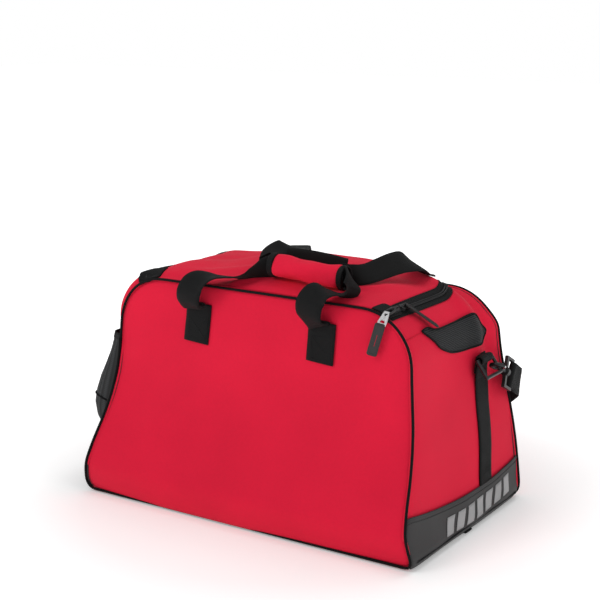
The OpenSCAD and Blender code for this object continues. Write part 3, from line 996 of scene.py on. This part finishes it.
def make_lid_seam():
    """The sewn fold along the front of the lid."""
    x = np.linspace(-ZIP_HALF_W + 0.02, ZIP_HALF_W - 0.02, 120)
    y = np.full_like(x, HINGE_Y + 0.004)
    path = np.stack([x, y, lid_height(x, y) + 0.0002 * np.sin(x * 900)], 1)
    piece = tube("lid_fold", path, 0.0015, "red_thread", None, flat=(0, 1, 0))
    bend_at_seam(piece)
    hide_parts("lid_seam")


# ---------------------------------------------------------------- handles
NEAR_ROLL = Vector((0, -0.1208, 0.2965))
FAR_ROLL = Vector((0, 0.1433, 0.2965))


def through_keys(keys, count):
    """A path and the directions across it, through keys of a place in millimetres and a direction."""
    rows = smooth_path([(*np.array(p) / 1000, *unit(a)) for p, a in keys], count)
    return rows[:, :3], rows[:, 3:6]


def anchor(word, side, back):
    """Square webbing patch sewn to a face, with a box of stitches and a rolled top."""
    x = side * ANCHOR_X + (0.0 if back else 0.004)
    z = np.linspace(0.240, 0.296, 24)
    lift = 0.0019 if back else -0.0019
    y = face_surface(np.full_like(z, x), z, back) + lift
    lean = (0.0 if back else 0.0035) * (z - 0.290) / 0.05
    path = np.stack([x + lean, y, z], 1)
    name = ("far_" if back else "near_") + "anchor_" + word
    patch = ribbon(name, path, (1, 0, 0), WEB_W + 0.002, WEB_T)
    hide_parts(name)
    outward = (0, 1, 0) if back else (0, -1, 0)
    lines = []
    inset = 0.016
    corners = [(-inset, 0.244), (inset, 0.244), (inset, 0.276), (-inset, 0.276)]
    square = list(zip(corners, corners[1:] + corners[:1]))
    cross = [(corners[0], corners[2]), (corners[1], corners[3])]
    for (xa, za), (xb, zb) in square + cross:
        t = np.linspace(0, 1, 14)
        px, pz = x + xa + (xb - xa) * t, za + (zb - za) * t
        py = face_surface(px, pz, back) + lift * 1.65
        lines += stitch_row(np.stack([px, py, pz], 1), outward, 0.0024, 0.0011, 0.00036)
    joined(name + "_stitches", lines, "thread", "shell")


def roll(name, side, centre):
    """The turned webbing at the top of an anchor, which the handle leg swings about."""
    a = np.linspace(0, 2 * math.pi, 30, endpoint=False)
    radius = 0.0024
    y, z = centre.y + radius * np.cos(a), centre.z + radius * np.sin(a)
    path = np.stack([0 * a + side * ANCHOR_X, y, z], 1)
    ribbon(name, path, (1, 0, 0), WEB_W - 0.004, 0.0016, closed=True)


def turned(right, inward, up):
    """A direction from its parts: towards the right end, towards the back, and up."""
    return 0.837 * right - 0.547 * inward, 0.547 * right + 0.837 * inward, up


def handle_leg(name, keys, widths, count):
    """Webbing swept through the keys with a width that changes along it, put on no body."""
    path, across = through_keys(keys, count)
    width = np.interp(np.linspace(0, 1, count), [0, 0.55, 1], widths)
    leg = ribbon(name, path, across, width, WEB_T, None)
    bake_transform(leg)
    return leg


def near_legs():
    """The near handle's webbing: each leg rises in a hump, turns on edge and enters the grip."""
    left = handle_leg("near_leg_left", [
        ((-100, -124.2, 290), (1, 0, 0)),
        ((-101, -130, 295), (0.97, -0.2, 0.1)),
        ((-100, -136, 303), (1.0, 0.01, -0.03)),
        ((-97, -138, 316), (0.99, 0.12, 0)),
        ((-92, -135, 327), (0.98, 0.1, -0.1)),
        ((-84, -129, 334), (0.98, -0.1, -0.16)),
        ((-73, -121, 337), (0.95, -0.32, -0.05)),
        ((-59, -112, 337), (0.8, -0.55, 0.1)),
        ((-45, -104, 336.5), (0.59, -0.78, 0.2)),
        ((-33, -96, 337), (0.52, -0.73, 0.44)),
        ((-24, -90, 340), (0.4, -0.59, 0.65)),
        ((-14, -85, 345), (0.3, -0.45, 0.8)),
        ((-2, -80, 352), (0.1, -0.2, 1)),
        ((12, -76, 355.5), (0.0, 0.0, 1)),
    ], (0.037, 0.036, 0.030), 80)
    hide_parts("near_leg_left")
    right = handle_leg("near_leg_right", [
        ((104, -124.2, 291), (1, 0, 0)),
        ((100, -130, 298), (0.95, -0.25, 0.04)),
        ((98, -136, 310), (0.98, 0.08, -0.15)),
        ((100, -138, 323), (0.92, 0.25, -0.3)),
        ((105, -135, 333), (0.88, 0.2, -0.42)),
        ((112, -129, 339), (0.92, -0.13, -0.36)),
        ((120, -120, 339), (0.85, -0.5, -0.11)),
        ((126, -111, 336), (0.65, -0.75, 0.08)),
        ((132, -103, 335), (0.22, -0.90, 0.38)),
        ((137, -97, 338), (-0.17, -0.83, 0.53)),
        ((138, -92, 345), (-0.30, -0.74, 0.61)),
        ((133, -86, 352), (-0.15, -0.6, 0.8)),
        ((124, -81, 353), (0, -0.25, 0.95)),
        ((110, -77, 350), (0, 0, 1)),
    ], (0.037, 0.036, 0.028), 80)
    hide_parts("near_leg_right")


def far_legs():
    """The far handle's webbing, laid across the lid and doubled behind the grip."""
    left = handle_leg("far_leg_left", [
        ((-102, 146.4, 288), (1, 0, 0)),
        ((-101, 148.5, 308), (1, 0, 0)),
        ((-96, 144, 328), (1, 0.1, 0)),
        ((-80, 116, 343), turned(1, 0, 0)),
        ((-56, 78, 348), turned(1, 0, 0)),
        ((-32, 38, 355), turned(1, 0, -0.1)),
        ((-18, 6, 364), turned(0.95, 0, -0.3)),
        ((-17, -14, 368.5), turned(0.9, -0.1, -0.4)),
        ((-23, -28, 367), turned(0.75, -0.5, -0.4)),
        ((-29, -41, 363), turned(0.45, -0.85, -0.2)),
        ((-29, -51, 356), turned(0.35, -0.9, 0)),
        ((-20, -57, 352), turned(0.3, -0.8, -0.5)),
        ((-4, -58, 352), turned(0, -0.2, -1)),
        ((16, -55.5, 355), (0, 0, -1)),
    ], (0.034, 0.030, 0.026), 100)
    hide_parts("far_leg_left")
    right = handle_leg("far_leg_right", [
        ((102, 146.4, 288), (1, 0, 0)),
        ((103, 149, 305), (1, 0, 0)),
        ((108, 146, 314), turned(1, 0.1, 0)),
        ((124, 126, 321), turned(0.95, -0.3, 0)),
        ((143, 96, 329), turned(0.7, -0.7, 0)),
        ((155, 66, 341), turned(0.5, -0.85, -0.1)),
        ((160, 40, 353), turned(0.55, -0.7, -0.3)),
        ((156, 16, 360.5), (0.59, -0.40, -0.67)),
        ((150, -4, 360), (0.48, -0.3, -0.81)),
        ((142, -24, 356), (0.43, -0.3, -0.82)),
        ((134, -41, 352), (0.4, -0.4, -0.8)),
        ((124, -52, 350), (0.2, -0.3, -0.9)),
        ((112, -55, 350), (0, 0, -1)),
        ((98, -56, 351), (0, 0, -1)),
    ], (0.032, 0.036, 0.027), 100)
    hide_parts("far_leg_right")
    x = np.linspace(0.010, 0.106, 40)
    bow = np.sin(math.pi * (x - 0.01) / 0.096)
    path = np.stack([x, -0.0555 - 0.0012 * bow, 0.3585 - 0.052 * (x - 0.058) + 0.003 * bow], 1)
    middle = ribbon("far_middle", path, (0, 0.12, 1), 0.030, WEB_T, "far_handle")
    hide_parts("far_middle")


GRIP_AXIS = unit((1, 0, -math.tan(math.radians(3))))
GRIP_UP = unit(np.cross(GRIP_AXIS, (0, 1, 0)))
GRIP_MIDDLE = np.array([0.060, -0.0765, 0.3525])
GRIP_HALF = 0.052


def grip_point(x, angle, radius):
    """A point round the grip: x along it from its middle, in metres."""
    sag = -0.0012 * (1 - (2 * x / 0.122) ** 2)
    deep = np.array([0, radius * 0.92 * math.cos(angle), 0])
    return GRIP_MIDDLE + GRIP_AXIS * x + GRIP_UP * sag + deep + radius * 1.04 * math.sin(angle) * GRIP_UP


def make_grip():
    """Padded wrap that closes round both webbing straps, with its overlap along the front."""
    rows, sides = 49, 64
    vertices = []
    for x in np.linspace(-GRIP_HALF, GRIP_HALF, rows):
        end = min(1.0, (GRIP_HALF - abs(x)) / 0.004)
        for k in range(sides):
            a = 2 * math.pi * k / sides
            puff = 0.0009 * math.sin(3 * a + 60 * x) + 0.0007 * math.sin(2 * a - 150 * x)
            overlap = 0.0016 * max(0.0, 1 - abs((a - math.radians(238)) / 0.05)) ** 0.5
            step = -0.0011 if math.radians(238) < a < math.radians(290) else 0.0
            rounded = 0.90 + 0.10 * math.sqrt(max(0.0, 1 - (1 - end) ** 2))
            vertices.append(grip_point(x, a, 0.0150 * rounded + puff + step - 0.5 * overlap))
    faces = grid_faces(rows, sides, wrap=True)
    faces += [tuple(range(sides))[::-1], tuple(range((rows - 1) * sides, rows * sides))]
    piece = build("grip_wrap", vertices, faces, "red_lid", "near_handle")
    recalc(piece)
    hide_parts("grip_wrap")
    sewn = np.linspace(-0.049, 0.049, 40)
    line = np.array([grip_point(x, math.radians(232), 0.0153) for x in sewn])
    out = unit(line - np.array([grip_point(x, 0, 0) for x in sewn]))
    joined("grip_stitches", stitch_row(line, out), "red_thread", "near_handle")
    for word, side in (("left", -1), ("right", 1)):
        a = np.linspace(0, 2 * math.pi, 48, endpoint=False)
        at = side * 0.0553
        path = np.array([grip_point(at, k, 0.0152 + 0.0003 * math.sin(3 * k)) for k in a])
        band = ribbon("grip_binding_" + word, path, GRIP_AXIS, 0.0085, 0.0022, "near_handle", closed=True)
        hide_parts("grip_binding_" + word)
        disc = [grip_point(at, k, 0.0146) for k in a] + [grip_point(at + side * 0.001, 0, 0)]
        faces = [(k, (k + 1) % 48, 48) for k in range(48)]
        cap = build("grip_end_" + word, disc, faces, "lining", "near_handle")
        recalc(cap)
        thicken(cap, 0.001)


# ---------------------------------------------------------------- sliders and pulls
def rotated(place, x_axis, y_axis):
    """A matrix that stands on a place with the given axes."""
    x = Vector(x_axis).normalized()
    z = x.cross(Vector(y_axis)).normalized()
    y = z.cross(x)
    m = Matrix((x, y, z)).transposed().to_4x4()
    m.translation = Vector(place)
    return m


def slider(name, y, body, node):
    """Zip slider: a waisted lower and upper wing and a bridge loop."""
    surface, normal = rim_surface(np.array(ZIP_HALF_W), np.array(y))
    normal = Vector(normal)
    along = Vector((0, 1, 0))
    waist = [(0.0072, 0.0022), (0.0060, 0.0038), (0.0000, 0.0044), (-0.0060, 0.0050), (-0.0076, 0.0034)]
    loop = waist + [(a, -b) for a, b in waist[::-1]]
    base = Vector(surface) + normal * 0.0042
    place = rotated(base, along, normal.cross(along))
    wing = plate(name, [loop], 0.0014, 0.0005, place, body)
    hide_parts(node)
    place = rotated(base + normal * 0.0024, along, normal.cross(along))
    plate(name + "_top", [[(a * 0.96, b * 0.9) for a, b in loop]], 0.0013, 0.0005, place, body)
    arch = [base + along * (0.0052 * math.cos(a)) + normal * (0.0026 + 0.0034 * math.sin(a))
            for a in np.linspace(0, math.pi, 14)]
    tube(name + "_bridge", arch, 0.0011, "plastic", body, sides=10, flat=(1, 0, 0.2))
    return base, normal


def pulls():
    """The parked slider's nickel pull, link and tab, and the running slider's tab."""
    base, normal = slider("slider_parked", -0.086, "shell", "parked_slider")
    start = base + normal * 0.0042 + Vector((0, -0.0050, 0))
    plate_top = Vector((0.2000, -0.1095, 0.3205))
    plate_end = Vector((0.1985, -0.1215, 0.3055))
    along = (plate_end - plate_top).normalized()
    across = Vector((0.93, 0.30, 0.10))
    place = rotated(0.5 * (plate_top + plate_end), along, across)
    half = 0.5 * (plate_end - plate_top).length
    outline_points = [(-half, 0.0032), (-half + 0.004, 0.0040), (half - 0.005, 0.0058), (half, 0.0056)]
    loop = outline_points + [(a, -b) for a, b in outline_points[::-1]]
    slot_low = rounded_rect(0.0044, 0.0066, 0.0014, (half - 0.0044, 0))
    slot_high = rounded_rect(0.0040, 0.0030, 0.0012, (-half + 0.0046, 0))
    pull = plate("pull_plate", [loop, slot_low, slot_high], 0.0018, 0.0005, place, "parked_puller",
                 "nickel")
    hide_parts("parked_pull")
    reach = plate_top + along * 0.004 - start
    link = [start + 0.5 * reach - 0.5 * reach * math.cos(a) + Vector((0.0050 * math.sin(a), 0, 0))
            for a in np.linspace(0, 2 * math.pi, 28, endpoint=False)]
    tube("pull_link", link, 0.0015, "plastic", "parked_puller", closed=True,
         flat=(0, 0.6, 0.8))
    tab("pull_tab", Vector((0.1985, -0.1235, 0.3070)), Vector((0.1845, -0.1215, 0.2640)),
        Vector((0.90, 0.42, -0.1)), "parked_tab", "parked_strap", 0.0120)
    slider("slider_running", -0.062, "zip_slider", "running_slider")
    tab("running_tab", Vector((0.2000, -0.0600, 0.3215)), Vector((0.2335, -0.0335, 0.2908)),
        Vector((0.62, -0.72, 0.0)), "zip_tab", "running_pull", 0.0115)


def tab(name, top, end, across, body, node, width):
    """Moulded pull tab: rounded plate with a raised rim, a long slot and a red inlay in the slot."""
    along = (end - top).normalized()
    half = 0.5 * (end - top).length
    place = rotated(0.5 * (top + end), along, across)
    loop = rounded_rect(2 * half, width, 0.0022)
    slot_hole = rounded_rect(half * 0.80, 0.0018, 0.0008, (0.001, 0))
    piece = plate(name, [loop, slot_hole], 0.0026, 0.0009, place, body, "rubber")
    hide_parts(node)
    rim_out = rounded_rect(2 * half - 0.003, width - 0.0026, 0.0016)
    rim_in = rounded_rect(2 * half - 0.0052, width - 0.0050, 0.0012)
    for k, sign in enumerate((1, -1)):
        lifted = place @ Matrix.Translation((0, 0, sign * 0.0014))
        plate(f"{name}_rim_{k}", [rim_out, rim_in], 0.0008, 0.0003, lifted, body, "rubber")
    inlay = rounded_rect(half * 0.80, 0.0016, 0.0007, (0.001, 0))
    plate(name + "_inlay", [inlay], 0.0020, 0.0004, place, body, "red_thread")


# ---------------------------------------------------------------- right and left end details
VENT_LOW = [(-0.064, 0.2880), (-0.046, 0.2740), (-0.033, 0.2620), (-0.014, 0.2530), (0.006, 0.2470),
            (0.040, 0.2430), (0.075, 0.2425), (0.100, 0.2440), (0.111, 0.2490), (0.114, 0.2560)]
VENT_HIGH = [(-0.064, 0.2895), (-0.047, 0.2905), (-0.026, 0.2850), (0.020, 0.2845), (0.073, 0.2850),
             (0.095, 0.2745), (0.111, 0.2620), (0.114, 0.2565)]


def vent_edge(keys, y):
    """Height of one edge of the vent."""
    at, z = np.array(keys).T
    return np.interp(y, at, z)


def make_vent():
    """Half moon of ribbed mesh with a bound edge, high on the right end."""
    rows, uvs = [], []
    for t in np.arange(26) / 25:
        places = []
        for y in np.linspace(-0.064, 0.114, 90):
            low, high = vent_edge(VENT_LOW, y), vent_edge(VENT_HIGH, y)
            places.append((y, low + (high - low) * t))
        lift = 0.0016 + 0.0010 * math.sin(math.pi * t)
        rows.append([corner_point(1, y, z, lift) for y, z in places])
        uvs += [(z, y) for y, z in places]
    piece = sheet("vent_mesh", rows, "mesh", 0.0012, uvs)
    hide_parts("vent_mesh")
    loop = VENT_LOW + VENT_HIGH[::-1]
    path = smooth_path(np.array([(y, z, 0.0) for y, z in loop + loop[:1]]), 150)[:-1]
    path = np.array([corner_point(1, y, z, 0.0020) for y, z, _ in path])
    binding = tube("vent_binding", path, 0.0012, closed=True, flat=(1, 0, 0.2))
    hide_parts("vent_binding")
    seam = np.array([corner_point(1, k, 0.2865 + 0.002 * t, 0.0003)
                     for t, k in zip(np.linspace(0, 1, 14), np.linspace(-0.109, -0.062, 14))])
    tube("vent_seam", seam, 0.0006, "red_thread", "shell", sides=6)


def corner_point(side, y, z, lift):
    """As end_point, and on up into the rounded top corner."""
    if z <= CORNER_Z:
        return end_point(side, y, z, lift)
    rise = min(1.0, (z - CORNER_Z) / CORNER_R)
    out = math.sqrt(1 - rise**2)
    x = CORNER_X + CORNER_R * out
    zz = np.array(z)
    p = wall_point(np.array(x), zz, np.array(out), np.array(rise), np.array(y), side)
    p = p + lift * np.array([out, 0, rise])
    return p * (side, 1, 1)


def end_web(word, side):
    """Webbing strip up one end, its folded loop over the ring's bar and its cross stitches."""
    z = np.linspace(0.050, 0.229, 60)
    y = np.interp(z, [0.050, 0.090, 0.120, 0.190, 0.229], [0.056, 0.067, 0.075, 0.081, 0.079])
    y = np.convolve(np.pad(y, 6, mode="edge"), np.ones(13) / 13, "valid")
    path = np.array([end_point(side, a, b, 0.0016) for a, b in zip(y, z)])
    across = np.array([end_point(side, a + 0.005, b, 0.0016) for a, b in zip(y, z)]) - path
    strip = ribbon(word + "_end_web", path, across, 0.036, WEB_T)
    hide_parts(word + "_end_web")
    bar = ring_bar(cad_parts[word + "_ring"])
    a = np.linspace(math.radians(-70), math.radians(190), 30)
    foot = end_point(side, 0.075, 0.198, 0.0045)
    loop = [np.array(foot), np.array(end_point(side, 0.075, 0.214, 0.0062))]
    turn = np.stack([bar[0] + side * 0.0052 * np.cos(a), 0 * a + 0.075, bar[1] + 0.0052 * np.sin(a)], 1)
    loop += list(turn)
    loop.append(np.array(end_point(side, 0.075, 0.206, 0.0022)))
    ribbon(word + "_end_loop", smooth_path(loop, 60), (0, 1, 0), 0.034, 0.0020)
    lines = []
    for height, start, lift in ((0.200, 0.061, 0.0058), (0.207, 0.061, 0.0058),
                                (0.066, 0.048, 0.0031), (0.071, 0.048, 0.0031)):
        stop = start + (0.028 if lift > 0.005 else 0.030)
        row = [end_point(side, y, height, lift) for y in np.linspace(start, stop, 14)]
        lines += stitch_row(np.array(row), (side, 0, 0.1))
    joined(word + "_end_stitches", lines, "thread", "shell")


def ring_bar(node):
    """Where the ring's straight bar is, as (x, z): the highest part of the ring."""
    co = np.array([v.co for v in node.data.vertices])
    top = co[co[:, 2] > co[:, 2].max() - 0.005]
    return float(0.5 * (top[:, 0].min() + top[:, 0].max())), float(co[:, 2].max() - 0.0025)


def dress_metal():
    """Metal and plastic looks for the rings and hooks, which stay as the CAD has them."""
    for word, _ in SIDES:
        for part, material in (("_ring", "gunmetal"), ("_gate", "nickel"), ("_hook", "gunmetal")):
            dress(word + part, material)
            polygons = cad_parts[word + part].data.polygons
            polygons.foreach_set("use_smooth", [True] * len(polygons))
        dress(word + "_hook_base", "plastic")
        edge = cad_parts[word + "_hook_base"].modifiers.new("edge", "BEVEL")
        edge.width = 0.0008
        edge.segments = 2
        edge.limit_method = "ANGLE"


def make_reflective():
    """Slanted plain light blocks on the grey panel, in place of any wording."""
    parts = []
    rows, columns = 6, 8
    for k in range(7):
        start = -0.070 + 0.0285 * k
        block = []
        for t in np.linspace(0, 1, rows):
            for u in np.linspace(0, 1, columns):
                y = start + 0.0195 * u + 0.010 * t
                block.append(grey_point(1, y, 0.0150 + 0.0230 * t + 0.004 * (y / 0.1) ** 2, 0.0007))
        parts.append((block, grid_faces(rows, columns)))
    piece = joined("reflective_bar", parts, "reflective", "shell")
    recalc(piece)
    face_out(piece)
    thicken(piece, 0.0005)
    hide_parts("reflective_bar")


def pocket_bulge(y, z):
    """How far the left mesh pocket stands off its end."""
    profile = np.interp(z, [0.070, 0.078, 0.092, 0.110, 0.130, 0.155, 0.190, 0.232],
                        [0.004, 0.028, 0.044, 0.051, 0.050, 0.044, 0.031, 0.012])
    u = np.clip((y + 0.033) / 0.084, -1, 1)
    shape = (1 - np.abs(u) ** 12) ** 0.6
    gather = 1 + 0.05 * np.sin(y * 210) * np.clip((z - 0.17) / 0.06, 0, 1)
    return 0.0022 + profile * shape * gather


def pocket_patch(name, low, high, count, material, nodes, lift=0.0):
    """One band of the pocket between two heights."""
    y = -0.033 + 0.084 * np.sin(np.linspace(-0.5, 0.5, 90) * math.pi)
    heights = np.linspace(low, high, count)
    rows = [end_point(-1, y, z, pocket_bulge(y, z) + lift) for z in heights]
    uvs = [(float(across), float(z)) for z in heights for across in y]
    piece = sheet(name, rows, material, 0.0014, uvs)
    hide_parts(*nodes)


def make_pocket():
    """The mesh pocket on the left end, its hem, its binding and its cross seam."""
    pocket_patch("pocket_upper", 0.124, 0.2265, 34, "mesh",
                 ["pocket_upper", "pocket_side_front", "pocket_side_back"])
    pocket_patch("pocket_lower", 0.0715, 0.124, 20, "mesh", ["pocket_lower"], 0.0004)
    pocket_patch("pocket_hem", 0.222, 0.232, 6, "webbing", ["pocket_elastic"], 0.0010)
    edge = [(-0.117, z) for z in np.linspace(0.226, 0.0715, 30)]
    edge += [(y, 0.0715) for y in np.linspace(-0.117, 0.051, 40)[1:-1]]
    edge += [(0.051, z) for z in np.linspace(0.0715, 0.226, 30)]
    path = np.array([end_point(-1, y, z, 0.0030) for y, z in edge])
    tube("pocket_binding", path, 0.0019, flat=(1, 0, 0.3))
    line = [(y, 0.124) for y in np.linspace(-0.116, 0.050, 60)]
    seam = np.array([end_point(-1, y, z, float(pocket_bulge(y, z)) + 0.0012) for y, z in line])
    tube("pocket_seam", seam, 0.0012, sides=8, flat=(1, 0, 0.3))


# ---------------------------------------------------------------- shoulder strap
STRAP_HALF = [((266, 139, 186), (0, 0.5, 0.87)), ((268, 151, 178), (0, 0.42, 0.91)),
              ((264, 166, 170), (0, 0.2, 1)), ((245, 177, 157), (0, 0.1, 1)), ((192, 184, 110), (0, 0.1, 1)),
              ((122, 190, 54), (0, 0.1, 1)), ((40, 196, 23), (0, 0.1, 1))]


def make_strap():
    """The shoulder strap, hanging down the back from hook to hook."""
    mirrored = [((-x, y, z), across) for (x, y, z), across in STRAP_HALF[::-1]]
    path, across = through_keys(STRAP_HALF + mirrored, 170)
    piece = ribbon("strap_webbing", path, across, 0.038, 0.0026)
    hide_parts("shoulder_strap")
    at = Vector((0.218, 0.1812, 0.133))
    place = rotated(at, Vector((0.053, -0.007, 0.047)), Vector((0, 0.10, 1)))
    loop = rounded_rect(0.024, 0.046, 0.003)
    holes = [rounded_rect(0.0055, 0.0385, 0.001, (x, 0)) for x in (-0.0055, 0.0055)]
    adjuster = plate("strap_adjuster", [loop] + holes, 0.0042, 0.0010, place, "shell")
    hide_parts("strap_adjuster")
    for word, side in SIDES:
        strap_loop(word, side)


def strap_loop(word, side):
    """The strap's end, turned round the bar of the hook's swivel base and sewn back on itself."""
    lean = np.array([0, 0.5, 0.866])
    forward = np.array([0, 0.866, -0.5])
    bar = np.array([0.2649, 0.1341, 0.1890])
    a = np.linspace(math.radians(75), math.radians(285), 26)
    turn = [bar + forward * 0.0042 * math.cos(k) + np.array([1.0, 0, 0]) * 0.0042 * math.sin(k) for k in a]
    tail = [bar + forward * d + np.array([0.0036, 0, 0]) for d in (0.024, 0.012)]
    back = [bar + forward * d + np.array([-0.0036, 0, 0]) for d in (0.012, 0.022)]
    path = smooth_path(tail + turn + back, 70) * (side, 1, 1)
    ribbon(word + "_strap_loop", path, lean, 0.036, 0.0020)


# ---------------------------------------------------------------- the whole bag
def far_glow(n):
    """Nothing near the bag, rising to plain white where the studio sweep would be."""
    reach = n.add("ShaderNodeVectorMath", operation="LENGTH")
    n.link(n.add("ShaderNodeNewGeometry").outputs["Position"], reach.inputs[0])
    level = n.spread(reach.outputs["Value"], 0.22, 0.75, "Emission Strength")
    level.inputs["From Min"].default_value = 0.32
    level.inputs["From Max"].default_value = 0.80


def make_floor():
    """A wide white floor that only belongs to the picture."""
    mesh = bpy.data.meshes.new("floor")
    mesh.from_pydata([(-9, -9, 0), (9, -9, 0), (9, 9, 0), (-9, 9, 0)], [], [(0, 1, 2, 3)])
    floor = bpy.data.objects.new("floor", mesh)
    n = Nodes("floor")
    n.value("Base Color", (0.98, 0.98, 0.98, 1))
    n.value("Roughness", 0.9)
    n.value("Emission Color", (1, 1, 1, 1))
    far_glow(n)
    mesh.materials.append(n.material)
    bpy.context.collection.objects.link(floor)


make_camera()
make_light()
make_floor()
large_face("front_face", False, "front_panel")
large_face("back_face", True, "back_panel")
make_gusset()
make_base()
dress("base_board", "lining")
make_runners()
make_piping("front_piping_cord", False, "front_piping")
make_piping("back_piping_cord", True, "back_piping")
make_lid()
lid_tape()
rim_tape()
coils()
zip_patches()
make_lid_seam()
for side_word, side_sign in SIDES:
    make_grey_end(side_word, side_sign)
    end_web(side_word, side_sign)
    anchor(side_word, side_sign, False)
    anchor(side_word, side_sign, True)
    roll("near_roll_" + side_word, side_sign, NEAR_ROLL)
    roll("far_roll_" + side_word, side_sign, FAR_ROLL)
near_legs()
far_legs()
make_grip()
pulls()
make_vent()
dress_metal()
make_reflective()
make_pocket()
make_strap()
